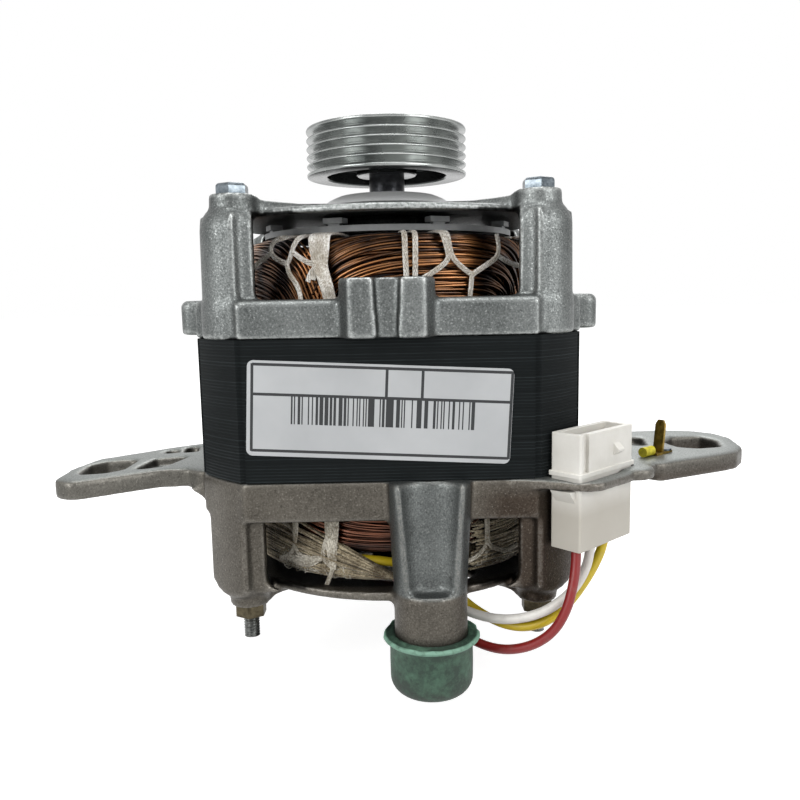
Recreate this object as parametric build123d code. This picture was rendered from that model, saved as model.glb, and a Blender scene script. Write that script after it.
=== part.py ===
from build123d import *
import os
from math import cos, pi, radians, sin, tan

# Washing machine motor: a square laminated stator clamped between two die cast end shields.
# Z is the shaft axis, -Y the side with the label, and z = 0 the underside of the mounting ears.

# Stator stack, standing level with the top of the mounting ears
earThickness = 5.0
stackHalf = 47.5
stackCornerProud = 11.4
stackCorner = stackHalf + stackCornerProud
stackBase = earThickness
stackHeight = 34.0
stackTop = stackBase + stackHeight
stackBore = 24.0
edgeGrooveInset = 12.3
edgeGrooveAt = stackHalf - edgeGrooveInset
edgeGrooveWidth = 1.6
edgeGrooveDepth = 0.8
slotCount = 24
toothTip = 2.0
backIron = 8.9
slotInner = stackBore + toothTip
slotOuter = stackHalf - backIron
slotInnerHalf = 1.6
slotOuterHalf = 2.7
slotMouthHalf = 1.0
linerWall = 0.3
linerFit = 0.05
linerReach = 2.4

# Through bolts
boltInset = 10.8
boltPitchHalf = stackHalf - boltInset
boltRadius = 2.0
boltHoleGap = 0.15
hexFlats = 7.0
hexTurn = 30.0
boltHeadHeight = 2.7
boltHeadChamfer = 0.5
nutHeight = 3.2
threadGap = 0.03
threadReach = 5.7

# End shields, both: a rim with a round column about each bolt, and webs set back beside the windows
rimLap = 0.1
rimHalf = stackHalf + rimLap
rimWall = 4.1
coilSpace = rimHalf - rimWall
windowInset = 16.3
windowHalf = stackHalf - windowInset
columnLap = 1.4
columnEdge = boltPitchHalf - columnLap
webStep = 2.0
webWall = 2.2
coreRadius = 4.6
postRound = 0.7
plateInset = 1.1
plateRadius = rimHalf - plateInset
bossRadius = 5.6
ribWidth = 8.5
ribSag = 0.6
castRound = 1.0

# Upper end shield
upperRimHeight = 9.2
upperRimColumn = 8.7
upperPostColumn = 8.4
upperCornerProud = 14.5
upperRimCorner = stackHalf + upperCornerProud
upperWindowHeight = 20.0
upperPlateThickness = 1.7
upperPlateRise = 1.6
upperBossHeight = 3.4
upperShoulder = 4.4
upperPostInset = 0.3
housingRadius = 17.5
housingTopRadius = 13.8
domeRise = 3.3
shaftHoleGap = 1.4
lugLength = 8.7
lugReach = rimHalf + lugLength
lugHalf = 18.0
lugRound = 3.0
blockBaseHalf = 11.2
blockFaceHalf = 8.8
blockReach = 4.3
blockHeight = 14.0
blockRecessHalf = 3.1
blockRecessFootHalf = 2.3
blockRecessDepth = 3.0

# Lower end shield
lowerRimHeight = 10.0
lowerRimColumn = 9.9
lowerPostColumn = 9.8
lowerCornerProud = 11.3
lowerRimCorner = stackHalf + lowerCornerProud
lowerWindowHeight = 18.2
lowerPlateThickness = 2.3
lowerPlateDrop = 2.0
lowerBossHeight = 3.0
lowerPostInset = 0.8
lowerShoulderShare = 0.4
lowerHousingFloor = 2.5
flangeThickness = 2.5
earRootLap = 1.6
earRootX = rimHalf - earRootLap
leftEarReach = 38.8
leftEarDepth = 50.0
leftEarFront = -42.0
rightEarReach = 54.6
rightEarDepth = 55.0
rightEarFront = -33.5
flangeReach = 42.3
flangeDepth = 29.0
flangeProud = 5.4
flangeFront = -rimHalf - flangeProud
flangeInset = 20.8
flangeStart = rimHalf - flangeInset
earRound = 2.6
openingRound = 2.0
pocketDepth = 2.6
gussetReach = 6.5
gussetDrop = 6.0
gussetHalf = 3.0
gussetY = -29.0
padRadius = 4.6
padHeight = 0.5
padOffsetX = 15.0
padOffsetY = 14.8
padX = earRootX + padOffsetX
padY = flangeFront + padOffsetY
legX = 9.2
legInset = 2.1
legY = legInset - rimHalf
legTopRadius = 10.4
legRadius = 9.0
legTaperEnd = -21.9
legEnd = -46.0
scoopTopRadius = 8.3
scoopEndRadius = 6.6
scoopOffset = 10.4
scoopY = legY - scoopOffset
leadNotchX = 8.5
leadNotchInset = 11.2
leadNotchY = leadNotchInset - coilSpace
leadNotchLength = 24.0
leadNotchWidth = 7.6

# Levels of the end shields
upperRimTop = stackTop + upperRimHeight
upperPlateBase = upperRimTop + upperWindowHeight
upperPlateTop = upperPlateBase + upperPlateThickness
upperSeat = upperPlateTop + upperBossHeight
housingShoulder = upperPlateTop + upperPlateRise + upperPlateThickness
housingTop = housingShoulder + domeRise
lowerRimBase = stackBase - lowerRimHeight
lowerPlateTop = lowerRimBase - lowerWindowHeight
lowerPlateBase = lowerPlateTop - lowerPlateThickness
lowerSeat = lowerPlateBase - lowerBossHeight
nutBase = lowerSeat - nutHeight
boltEnd = nutBase - threadReach
boltHole = boltRadius + boltHoleGap

# Rubber cap on the leg
capWall = 1.2
capFit = 0.02
capFloor = 2.4
capGrip = 12.6
capTop = legEnd + capGrip
capFlangeRadius = 11.9
capFlangeHeight = 1.6
capRound = 4.0

# Bearings, one at each end of the shaft
bearingBore = 5.0
bearingOuter = 15.0
bearingWidth = 9.0
ballRadius = 2.381
ballCircle = (bearingBore + bearingOuter) / 2
ballCount = 8
raceGap = 0.06
innerLand = 8.35
outerLand = 11.7
cageInner = 9.1
cageOuter = 10.9
cageWidth = 6.2
cagePocketGap = 0.05
sealWall = 0.4
sealInset = 0.25
sealGap = 0.35
upperBearingDrop = 5.2
lowerBearingDrop = 10.3
upperBearingBase = upperPlateBase - upperBearingDrop
lowerBearingBase = lowerPlateTop - lowerBearingDrop
preloadWall = 0.5
preloadInner = 12.4
housingLip = 0.8
housingSeatTop = upperBearingBase + bearingWidth + preloadWall
lowerHousingBase = lowerBearingBase - lowerHousingFloor
lowerHousingTop = lowerBearingBase + bearingWidth + housingLip

# Pulley
pulleyRadius = 22.45
pulleyStand = 18.2
pulleyTop = housingTop + pulleyStand
pulleyWidth = 13.0
groovePitch = 2.34
grooveCount = 5
grooveDepth = 1.9
ridgeFlat = 0.5
grooveFloor = 0.3
pulleyRimWall = 5.65
pulleyRimInner = pulleyRadius - pulleyRimWall
pulleyHubWall = 3.5
pulleyHubRadius = bearingBore + pulleyHubWall
pulleyWebDrop = 8.9
pulleyWebBase = pulleyTop - pulleyWebDrop
pulleyWebWall = 3.0
pulleyHubReach = 3.6
pulleyHubBase = pulleyWebBase - pulleyHubReach

# Shaft and rotor
shaftMiddleRadius = 6.5
shaftSink = 1.7
shaftTop = pulleyTop - shaftSink
shaftChamfer = 0.6
shaftTailGap = 0.6
airGap = 0.4
endRingInset = 1.1
endRingWall = 6.9
endRingOuter = stackBore - endRingInset
endRingInner = endRingOuter - endRingWall
endRingHeight = 5.0
barCount = 18
barRadius = 1.5
barInset = 3.4
barCircle = stackBore - barInset
barFit = 0.03

# Windings
coilStandIn = 1.0
coilStandOut = 0.9
coilInner = slotInner + coilStandIn
coilOuter = slotOuter + coilStandOut
coilStandOff = 3.0
upperCoilHeight = 19.0
lowerCoilHeight = 16.2
coilRound = 4.0
wireDiameter = 1.0
wirePitch = 1.46
wireSeatGap = 0.05
wireAimShare = 0.0005
upperTurns = 16
lowerTurns = 14
laceDiameter = 1.4
laceGap = 0.35
laceStep = 30.0
laceStart = -52.5
upperLaceLoops = 12
lowerLaceLoops = 11
laceCorner = 3.0
upperCoilBase = stackTop + coilStandOff
upperCoilTop = upperCoilBase + upperCoilHeight
lowerCoilTop = stackBase - coilStandOff
lowerCoilBase = lowerCoilTop - lowerCoilHeight

# Cooling fan, with its band between the winding and the upper plate
fanBandDrop = 3.7
fanBandBase = upperPlateBase - fanBandDrop
fanWall = 1.5
fanInset = 8.7
fanRadius = coilSpace - fanInset
fanCupWall = 2.0
fanCupRadius = housingRadius + fanWall + fanCupWall
fanHubWall = 3.0
fanHubRadius = shaftMiddleRadius + fanHubWall
fanCupGap = 9.5
fanCupFloor = upperBearingBase - fanCupGap
fanHubReach = 3.5
fanHubBase = fanCupFloor - fanHubReach
fanHubHeight = 8.0
fanTabCount = 8
fanTabWidth = 5.2
fanTabDepth = 3.4
fanTabGap = 0.3
fanTabTop = upperPlateBase - fanTabGap
fanTabCap = 1.3
fanStemWidth = 3.2

# Sleeved bundle of lead joints under the lower winding
bundleRadius = 2.7
bundleInset = 2.5
bundleCircle = coilOuter - bundleInset
bundleGap = 0.25
bundleStart = -98.0
bundleSweep = 325.0

# Label, left blank
labelWidth = 62.4
labelHeight = 22.6
labelThickness = 0.2
labelX = -2.3
labelRise = 16.6
labelZ = stackBase + labelRise
labelTilt = -3.0
labelRound = 1.5

# Connector
connectorLength = 22.5
connectorWidth = 8.5
connectorTop = 15.8
connectorBase = -12.4
connectorAngle = 43.0
connectorProud = 1.95
connectorInset = 6.6
connectorX = rimHalf + connectorProud
connectorY = connectorInset - rimHalf
connectorFit = 0.12
connectorRound = 0.6
footReach = 0.7
footHeight = 1.1
wingReach = 2.4
wingHeight = 3.0
keyWidth = 2.2
keyDepth = 1.0
keyInset = 1.2
latchWidth = 2.6
latchHeight = 3.0
latchReach = 1.5
latchAt = 2.5
latchZ = 9.2
wayPitch = 6.5
wayCount = 3
cavityWidth = 3.6
cavityTop = 4.0
socketWall = 1.6
socketFloor = 5.2
bladeWidth = 2.8
bladeThickness = 0.8
bladeTop = 12.5
bladeGap = 0.1
barrelTop = -4.0
barrelRadius = 1.3
leadSeat = 2.0

# Earth tab
earthOffsetX = 26.5
earthOffsetY = 12.3
earthX = earRootX + earthOffsetX
earthY = rightEarFront + earthOffsetY
earthAngle = 40.0
earthPlateLength = 7.5
earthPlateWidth = 3.4
earthPlateThickness = 0.6
earthTabWidth = 2.8
earthTabThickness = 0.8
earthTabHeight = 9.0
earthTabTip = 1.2
earthLean = 8.0
earthTabAt = 0.6
rivetRadius = 1.2
rivetHeadRadius = 1.9
rivetHeadHeight = 0.5
rivetAt = 2.4
sleeveRadius = 1.3
sleeveLength = 4.2

# Motor leads
leadDiameter = 2.4
bendShare = 0.45

overrun = 1.0


def turned(points):
    """A solid of revolution about Z from (radius, height) points."""
    return revolve(Plane.XZ * make_face(Polyline(*points, close=True)), axis=Axis.Z)


def ring(outer, inner, base, height):
    return Pos(0, 0, base) * extrude(Circle(outer) - Circle(inner), amount=height)


def disc(radius, base, height):
    return Pos(0, 0, base) * extrude(Circle(radius), amount=height)


def polar(radius, angle):
    return radius * cos(radians(angle)), radius * sin(radians(angle))


def outline(points, rounding):
    face = make_face(Polyline(*points, close=True))
    return fillet(face.vertices(), rounding)


def shared(points, originX, originY, width, depth):
    """Outline shares of a width and a depth turned into places."""
    return [(originX + u * width, originY + v * depth) for u, v in points]


def atCorners(shape):
    return [Rot(0, 0, quarter) * shape for quarter in range(0, 360, 90)]


def bodyPlan(half, corner):
    return Rectangle(2 * half, 2 * half) & Circle(corner)


def rimPlan(column, corner):
    """Straight sides between round columns about the bolts, all inside a circle."""
    plan = Rectangle(2 * rimHalf, 2 * columnEdge) + Rectangle(2 * columnEdge, 2 * rimHalf)
    plan += atCorners(Pos(boltPitchHalf, boltPitchHalf) * Circle(column))
    return plan & Circle(corner)


def postPlan(column):
    """A corner post: a column that is round outside, and a web set back beside each window."""
    web = boltPitchHalf + column - webStep
    reach = boltPitchHalf + (column ** 2 - columnLap ** 2) ** 0.5
    bulge = boltPitchHalf + column / 2 ** 0.5
    sides = Polyline(
        (columnEdge, reach), (columnEdge, web), (windowHalf, web), (windowHalf, windowHalf),
        (web, windowHalf), (web, columnEdge), (reach, columnEdge))
    face = make_face(sides + ThreePointArc((reach, columnEdge), (bulge, bulge), (columnEdge, reach)))
    return fillet(face.vertices(), postRound)


def makePost(base, column, levels):
    """A post from its foot through (height, inset) levels, drawn in as a casting needs."""
    below = Pos(0, 0, base) * postPlan(column)
    post = None
    for height, inset in levels:
        above = Pos(0, 0, height) * postPlan(column - inset)
        step = loft([below, above], ruled=True)
        post = step if post is None else post + step
        below = above
    return post


def postPocket(base, top):
    """The room behind a post's webs, round the core that holds the bolt."""
    half = boltPitchHalf + upperPostColumn - webStep - webWall
    low = windowHalf - overrun
    plan = Pos((low + half) / 2, (low + half) / 2) * Rectangle(half - low, half - low)
    plan -= Pos(boltPitchHalf, boltPitchHalf) * Circle(coreRadius)
    side = half + overrun - boltPitchHalf
    plan -= Pos(boltPitchHalf + side / 2, boltPitchHalf + side / 2) * Rectangle(side, side)
    return Pos(0, 0, base) * extrude(plan, amount=top - base)


def boltHoles(base, height):
    hole = Pos(boltPitchHalf, boltPitchHalf, base) * extrude(Circle(boltHole), amount=height)
    return atCorners(hole)


# Stator

def slotPlan(shrink, mouth):
    inner = slotInner + shrink
    outer = slotOuter - shrink
    innerHalf = slotInnerHalf - shrink
    outerHalf = slotOuterHalf - shrink
    corners = [(inner, -innerHalf), (outer, -outerHalf), (outer, outerHalf), (inner, innerHalf)]
    plan = make_face(Polyline(*corners, close=True))
    if mouth:
        reach = slotInner - stackBore + overrun
        plan += Pos(slotInner - reach / 2 + linerFit, 0) * Rectangle(reach, 2 * slotMouthHalf)
    return plan


def atSlots(shape):
    return [Rot(0, 0, 360 * k / slotCount) * shape for k in range(slotCount)]


def makeStatorCore():
    plan = bodyPlan(stackHalf, stackCorner) - Circle(stackBore)
    for face in range(0, 360, 90):
        for side in (-1, 1):
            groove = Pos(stackHalf, side * edgeGrooveAt) * Rectangle(2 * edgeGrooveDepth, edgeGrooveWidth)
            plan -= Rot(0, 0, face) * groove
    for slot in atSlots(slotPlan(0, True)):
        plan -= slot
    core = Pos(0, 0, stackBase) * extrude(plan, amount=stackHeight)
    return core - boltHoles(stackBase - overrun, stackHeight + 2 * overrun)


def makeSlotLiners():
    plan = slotPlan(linerFit, False) - slotPlan(linerFit + linerWall, False)
    height = stackHeight + 2 * linerReach
    liner = Pos(0, 0, stackBase - linerReach) * extrude(plan, amount=height)
    return Compound(children=atSlots(liner))


# Windings. Each ring of end turns is a plain core with one outer layer of wound wire.

def coilRing(base, height):
    width = coilOuter - coilInner
    section = Pos((coilInner + coilOuter) / 2, base + height / 2) * RectangleRounded(width, height, coilRound)
    return revolve(Plane.XZ * section, axis=Axis.Z)


def makeWindingCore():
    core = coilRing(upperCoilBase, upperCoilHeight) + coilRing(lowerCoilBase, lowerCoilHeight)
    plan = slotPlan(2 * linerFit + linerWall, False)
    low = lowerCoilTop - coilRound
    high = upperCoilBase + coilRound
    leg = Pos(0, 0, low) * extrude(plan, amount=high - low)
    return core + atSlots(leg)


def sectionPlace(along, wallStart, wallLength):
    """Radius and height along the outer wall, the rounded shoulder and the end face of a coil."""
    seat = wireDiameter / 2 + wireSeatGap
    shoulder = (coilRound + seat) * pi / 2
    if along <= wallLength:
        return coilOuter + seat, wallStart + along
    along -= wallLength
    if along <= shoulder:
        turn = along / (coilRound + seat)
        radius = coilOuter - coilRound + (coilRound + seat) * cos(turn)
        return radius, wallStart + wallLength + (coilRound + seat) * sin(turn)
    along -= shoulder
    return coilOuter - coilRound - along, wallStart + wallLength + coilRound + seat


def woundPlace(turns, wallLength):
    """The wire's centre after a number of turns, with its height above the foot of the wall."""
    radius, height = sectionPlace(turns * wirePitch, 0, wallLength)
    angle = 2 * pi * turns
    return Vector(radius * cos(angle), radius * sin(angle), height)


def biarc(start, startAim, end, endAim):
    """Two tangent arcs from start to end with the given unit directions."""
    chord = end - start
    aims = startAim + endAim
    a = 4 - aims.dot(aims)
    b = 2 * chord.dot(aims)
    c = -chord.dot(chord)
    reach = (-b + (b * b - 4 * a * c) ** 0.5) / (2 * a)
    joint = (start + startAim * reach + end - endAim * reach) * 0.5
    first = TangentArc(start, joint, tangent=startAim)
    second = TangentArc(end, joint, tangent=endAim * -1)
    return [first, second]


def woundWire(turnCount, wallLength):
    """One unbroken tube: up the wall, round the shoulder and in over the end face."""
    places = []
    aims = []
    for half in range(2 * turnCount + 1):
        turns = half / 2
        places.append(woundPlace(turns, wallLength))
        ahead = woundPlace(turns + wireAimShare, wallLength)
        behind = woundPlace(turns - wireAimShare, wallLength)
        aims.append((ahead - behind).normalized())
    edges = [Line(places[0] - aims[0] * wireDiameter, places[0])]
    for k in range(2 * turnCount):
        edges += biarc(places[k], aims[k], places[k + 1], aims[k + 1])
    edges.append(Line(places[-1], places[-1] + aims[-1] * wireDiameter))
    path = Wire([piece.edge() for piece in edges])
    start = Plane(places[0] - aims[0] * wireDiameter, z_dir=aims[0])
    tube = sweep(start * Circle(wireDiameter / 2), path=path)
    return tube, path


def leastGap(path, diameter, skip, count):
    """The least distance between the surfaces of one tube's own loops."""
    points = [path.position_at(k / count) for k in range(count + 1)]
    skipped = int(skip / path.length * count) + 1
    least = path.length
    for i in range(len(points)):
        for j in range(i + skipped, len(points)):
            apart = points[i] - points[j]
            least = min(least, apart.dot(apart))
    return least ** 0.5 - diameter


# Lacing cord: loops round a coil's section, passing under it between the slots.

def makeLace(base, top, spare, loops, way):
    """One unbroken cord looped round a coil's section, with spare room past its end face."""
    seat = laceGap + laceDiameter / 2
    cover = wireDiameter + wireSeatGap
    inside = coilInner - seat
    outside = coilOuter + cover + seat
    low = base - way * seat
    high = top + way * (seat + spare)
    drift = laceStep / 3
    points = []
    for k in range(loops):
        angle = laceStart + k * laceStep
        points.append(Vector(*polar(inside, angle), low))
        points.append(Vector(*polar(outside, angle), low))
        points.append(Vector(*polar(outside, angle + drift), high))
        points.append(Vector(*polar(inside, angle + drift), high))
    last = laceStart + (loops - 1) * laceStep + drift
    points.append(Vector(*polar(inside, last + drift), (low + high) / 2))
    return roundedTube(points, laceDiameter, laceCorner)


def roundedTube(points, diameter, radius):
    path = FilletPolyline(*points, radius=radius)
    aim = (points[1] - points[0]).normalized()
    tube = sweep(Plane(points[0], z_dir=aim) * Circle(diameter / 2), path=path)
    return tube, path.wire()


# Leads: straight runs joined by arcs as large as the runs allow

leadWhiteRoute = [
    (-9.5, -36.6, -17.3), (-4.2, -36.6, -18.6), (2.0, -35.0, -21.8), (8.2, -33.4, -26.6),
    (14.4, -34.4, -30.8), (21.4, -38.2, -33.0), (29.0, -42.4, -32.6), (36.8, -45.0, -29.8),
    (43.2, -45.2, -25.2), (47.2, -43.6, -20.4), (49.2, -41.6, -15.6), (49.55, -41.0, -10.4),
]
leadRedRoute = [
    (-8.8, -34.6, -19.3), (-4.0, -33.8, -20.8), (1.0, -32.2, -24.6), (5.8, -31.2, -29.8),
    (11.6, -32.2, -35.2), (18.4, -36.2, -39.6), (26.0, -41.2, -41.0), (33.2, -45.2, -38.6),
    (38.8, -47.8, -33.8), (42.0, -48.8, -27.4), (43.8, -47.8, -20.8), (44.7, -46.2, -15.4),
    (44.8, -45.43, -10.4),
]
leadYellowRoute = [
    (-8.4, -39.3, -16.9), (-2.6, -38.9, -17.6), (4.0, -36.7, -19.6), (10.4, -33.2, -23.8),
    (16.4, -32.2, -29.4), (22.6, -35.2, -33.8), (29.8, -40.2, -35.4), (36.8, -42.8, -33.8),
    (42.9, -42.4, -29.4), (47.7, -40.6, -24.2), (51.4, -38.6, -19.2), (53.6, -37.1, -14.8),
    (54.3, -36.57, -10.4),
]


def leadTube(name, route):
    points = [Vector(*p) for p in route]
    runs = [(b - a).length for a, b in zip(points, points[1:])]
    radii = []
    for k in range(1, len(points) - 1):
        before = points[k] - points[k - 1]
        after = points[k + 1] - points[k]
        turn = radians(before.get_angle(after))
        radii.append(bendShare * min(runs[k - 1], runs[k]) / tan(turn / 2))
    path = FilletPolyline(*points, radius=radii)
    aim = (points[1] - points[0]).normalized()
    tube = sweep(Plane(points[0], z_dir=aim) * Circle(leadDiameter / 2), path=path)
    section = pi * leadDiameter ** 2 / 4
    print(name, "radii", [round(r, 1) for r in radii], "runs", [round(r, 1) for r in runs])
    print(name, "length", round(path.length, 2), "volume over section", round(tube.volume / section, 2))
    return tube


def makeBundle():
    centre = lowerCoilBase - wireDiameter - wireSeatGap - bundleGap - bundleRadius
    section = Plane.XZ * (Pos(bundleCircle, centre) * Circle(bundleRadius))
    arc = revolve(section, axis=Axis.Z, revolution_arc=-bundleSweep)
    return Rot(0, 0, bundleStart) * arc


# Upper end shield

def makeUpperShield():
    rim = extrude(rimPlan(upperRimColumn, upperRimCorner), amount=upperRimHeight)
    rim = chamfer(rim.edges().group_by(Axis.Z)[-1], castRound)
    body = Pos(0, 0, stackTop) * rim
    lugPlan = RectangleRounded(2 * lugReach, 2 * lugHalf, lugRound)
    lugs = extrude(lugPlan, amount=upperRimHeight)
    body += Pos(0, 0, stackTop) * chamfer(lugs.edges().group_by(Axis.Z)[-1], castRound)
    body += frontBlock()
    shoulder = upperPostColumn - bossRadius
    post = makePost(stackTop, upperPostColumn, [
        (upperPlateTop - upperShoulder, upperPostInset), (upperPlateTop - upperShoulder / 3, shoulder / 2),
        (upperPlateTop, shoulder),
    ])
    body += atCorners(post)
    body -= atCorners(postPocket(upperRimTop, upperPlateBase))
    body -= disc(coilSpace, stackTop - overrun, upperPlateBase - stackTop + overrun)
    hubTop = upperPlateBase + upperPlateRise
    plate = turned([
        (plateRadius, upperPlateBase), (plateRadius, upperPlateTop),
        (housingRadius, housingShoulder), (bearingOuter, housingShoulder),
        (bearingOuter, hubTop), (housingRadius, hubTop),
    ])
    body += plate
    boss = Pos(boltPitchHalf, boltPitchHalf, upperPlateBase) * Cylinder(
        bossRadius, upperSeat - upperPlateBase, align=(Align.CENTER, Align.CENTER, Align.MIN))
    body += atCorners(boss)
    rib = upperRib()
    body += [Rot(0, 0, 45) * r for r in atCorners(rib)]
    body += turned([
        (bearingOuter, upperBearingBase - housingLip), (housingRadius, upperBearingBase - housingLip),
        (housingRadius, housingShoulder), (housingTopRadius, housingTop), (0, housingTop),
        (0, housingSeatTop), (bearingOuter, housingSeatTop),
    ])
    seatBase = upperBearingBase - housingLip - overrun
    body -= disc(bearingOuter, seatBase, housingSeatTop - seatBase)
    holeHeight = housingTop - housingSeatTop + 2 * overrun
    body -= disc(bearingBore + shaftHoleGap, housingSeatTop - overrun, holeHeight)
    return body - boltHoles(stackTop - overrun, upperSeat - stackTop + 2 * overrun)


def upperRib():
    """A web from a bolt boss to the bearing housing, hollowed along its crest."""
    reach = boltPitchHalf * 2 ** 0.5
    crest = housingShoulder
    joint = upperSeat - castRound
    dip = (crest + joint) / 2 - ribSag
    low = upperPlateBase + upperPlateRise / 2
    profile = make_face(Polyline(
        (housingRadius - bearingOuter / 10, low), (housingRadius - bearingOuter / 10, crest),
        ((housingRadius + reach) / 2, dip), (reach - bossRadius / 2, joint), (reach, joint),
        (reach, low), close=True))
    return extrude(Plane.XZ * profile, amount=ribWidth / 2, both=True)


def frontBlock():
    back = -coilSpace
    front = -rimHalf - blockReach
    plan = make_face(Polyline(
        (-blockBaseHalf, back), (-blockBaseHalf, -rimHalf), (-blockFaceHalf, front),
        (blockFaceHalf, front), (blockBaseHalf, -rimHalf), (blockBaseHalf, back), close=True))
    block = Pos(0, 0, stackTop) * extrude(plan, amount=blockHeight)
    low = stackTop - overrun
    high = stackTop + blockHeight + overrun
    recess = make_face(Polyline(
        (-blockRecessFootHalf, low), (blockRecessFootHalf, low), (blockRecessHalf, high),
        (-blockRecessHalf, high), close=True))
    cut = extrude(Plane.XZ * recess, amount=blockRecessDepth + overrun)
    return block - Pos(0, front + blockRecessDepth, 0) * cut


# Lower end shield

leftEarShares = [
    (0.0, 0.16), (0.19, 0.26), (0.36, 0.25), (0.63, 0.11), (0.84, 0.0), (0.98, 0.06), (1.0, 0.30),
    (0.93, 0.56), (0.70, 0.72), (0.52, 0.86), (0.33, 0.97), (0.0, 1.06),
]
leftOpeningShares = [(0.88, 0.17), (0.91, 0.40), (0.82, 0.50), (0.62, 0.53), (0.64, 0.26), (0.72, 0.20)]
leftPocketShares = [(0.55, 0.27), (0.51, 0.53), (0.29, 0.59), (0.38, 0.33)]
leftSlotShares = [[(0.51, 0.68), (0.51, 0.76), (0.42, 0.79), (0.41, 0.70)],
                  [(0.37, 0.70), (0.39, 0.84), (0.31, 0.88), (0.27, 0.72)]]
rightEarShares = [
    (0.0, 0.22), (0.27, 0.13), (0.42, 0.0), (0.60, 0.09), (0.77, 0.17), (0.88, 0.235), (0.96, 0.36),
    (1.0, 0.60), (0.97, 0.74), (0.88, 0.83), (0.74, 0.87), (0.50, 0.86), (0.26, 0.91), (0.0, 1.02),
]
rightOpeningShares = [
    (0.61, 0.54), (0.64, 0.38), (0.72, 0.34), (0.85, 0.37), (0.895, 0.54), (0.85, 0.66), (0.70, 0.66),
]
rightPocketShares = [(0.42, 0.44), (0.49, 0.44), (0.53, 0.64), (0.48, 0.68), (0.43, 0.66)]
flangeShares = [
    (0.0, 0.16), (0.10, 0.16), (0.235, 0.115), (0.42, 0.0), (0.53, 0.02), (0.73, 0.28), (0.90, 0.56),
    (1.0, 0.67), (0.80, 0.92), (0.46, 1.0), (0.30, 0.80), (0.0, 0.45),
]


def makeLeftEar():
    def place(shares):
        return shared([(-u, v) for u, v in shares], -earRootX, leftEarFront, leftEarReach, leftEarDepth)
    ear = extrude(outline(place(leftEarShares), earRound), amount=earThickness)
    ear -= Pos(0, 0, -overrun) * extrude(outline(place(leftOpeningShares), openingRound),
                                         amount=earThickness + 2 * overrun)
    for shares in [leftPocketShares] + leftSlotShares:
        pocket = extrude(outline(place(shares), openingRound / 3), amount=pocketDepth + overrun)
        ear -= Pos(0, 0, earThickness - pocketDepth) * pocket
    gusset = make_face(Polyline(
        (-earRootX - gussetReach, 0), (-earRootX - gussetReach / 2, -gussetDrop / 3),
        (-earRootX, -gussetDrop), (-earRootX + gussetReach / 3, 0), close=True))
    return ear + Pos(0, gussetY, 0) * extrude(Plane.XZ * gusset, amount=gussetHalf, both=True)


def makeRightEar():
    def place(shares):
        return shared(shares, earRootX, rightEarFront, rightEarReach, rightEarDepth)
    ear = extrude(outline(place(rightEarShares), earRound), amount=earThickness)
    ear -= Pos(0, 0, -overrun) * extrude(outline(place(rightOpeningShares), openingRound),
                                         amount=earThickness + 2 * overrun)
    pocket = extrude(outline(place(rightPocketShares), openingRound / 2), amount=pocketDepth + overrun)
    ear -= Pos(0, 0, earThickness - pocketDepth) * pocket
    plan = outline(shared(flangeShares, flangeStart, flangeFront, flangeReach, flangeDepth), earRound)
    flange = Pos(0, 0, earThickness - flangeThickness) * extrude(plan, amount=flangeThickness)
    pad = Pos(padX, padY, 0) * disc(padRadius, earThickness - flangeThickness, flangeThickness + padHeight)
    ear += flange + pad
    hole = Rectangle(connectorLength + 2 * connectorFit, connectorWidth + 2 * connectorFit)
    cut = Pos(0, 0, -overrun) * extrude(hole, amount=earThickness + padHeight + 2 * overrun)
    ear -= Pos(connectorX, connectorY, 0) * Rot(0, 0, connectorAngle) * cut
    return ear - earthPlace() * rivetHole()


def makeLowerShield():
    rim = extrude(rimPlan(lowerRimColumn, lowerRimCorner), amount=lowerRimHeight)
    body = Pos(0, 0, lowerRimBase) * rim
    body += makeLeftEar()
    body += makeRightEar()
    shoulder = lowerPostColumn - bossRadius
    post = makePost(stackBase, lowerPostColumn, [
        (lowerPlateTop + castRound, lowerPostInset),
        (lowerPlateTop - castRound, shoulder * lowerShoulderShare),
        (lowerPlateBase - castRound / 2, shoulder + castRound / 2),
    ])
    body += atCorners(post & disc(lowerRimCorner, lowerSeat, stackBase - lowerSeat))
    body -= atCorners(postPocket(lowerPlateTop, lowerRimBase))
    low = (Align.CENTER, Align.CENTER, Align.MIN)
    taper = Cone(legRadius, legTopRadius, stackBase - legTaperEnd, align=low)
    body += Pos(legX, legY, legTaperEnd) * taper
    scoop = Cone(scoopEndRadius, scoopTopRadius, stackBase - legTaperEnd, align=low)
    scoop += Pos(0, 0, stackBase - legTaperEnd) * Cylinder(scoopTopRadius, overrun, align=low)
    body -= Pos(legX, scoopY, legTaperEnd) * scoop
    body -= disc(coilSpace, lowerPlateTop, stackBase - lowerPlateTop + overrun)
    body += turned([
        (plateRadius, lowerPlateBase), (plateRadius, lowerPlateTop),
        (bearingOuter, lowerPlateTop - lowerPlateDrop), (bearingOuter, lowerPlateBase - lowerPlateDrop),
    ])
    boss = Pos(boltPitchHalf, boltPitchHalf, lowerSeat) * Cylinder(
        bossRadius - castRound / 2, lowerPlateTop - lowerSeat, align=low)
    body += atCorners(boss)
    body += [Rot(0, 0, 45) * r for r in atCorners(lowerRib())]
    body += disc(housingRadius, lowerHousingBase, lowerHousingTop - lowerHousingBase)
    body += Pos(legX, legY, legEnd) * extrude(Circle(legRadius), amount=legTaperEnd - legEnd)
    body -= disc(bearingOuter, lowerBearingBase, bearingWidth + housingLip + overrun)
    notch = SlotOverall(leadNotchLength, leadNotchWidth)
    depth = lowerPlateTop - lowerPlateBase + 2 * overrun + lowerPlateDrop
    body -= Pos(leadNotchX, leadNotchY, lowerPlateTop + overrun) * extrude(notch, amount=-depth)
    return body - boltHoles(lowerSeat - overrun, stackBase - lowerSeat + 2 * overrun)


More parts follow.
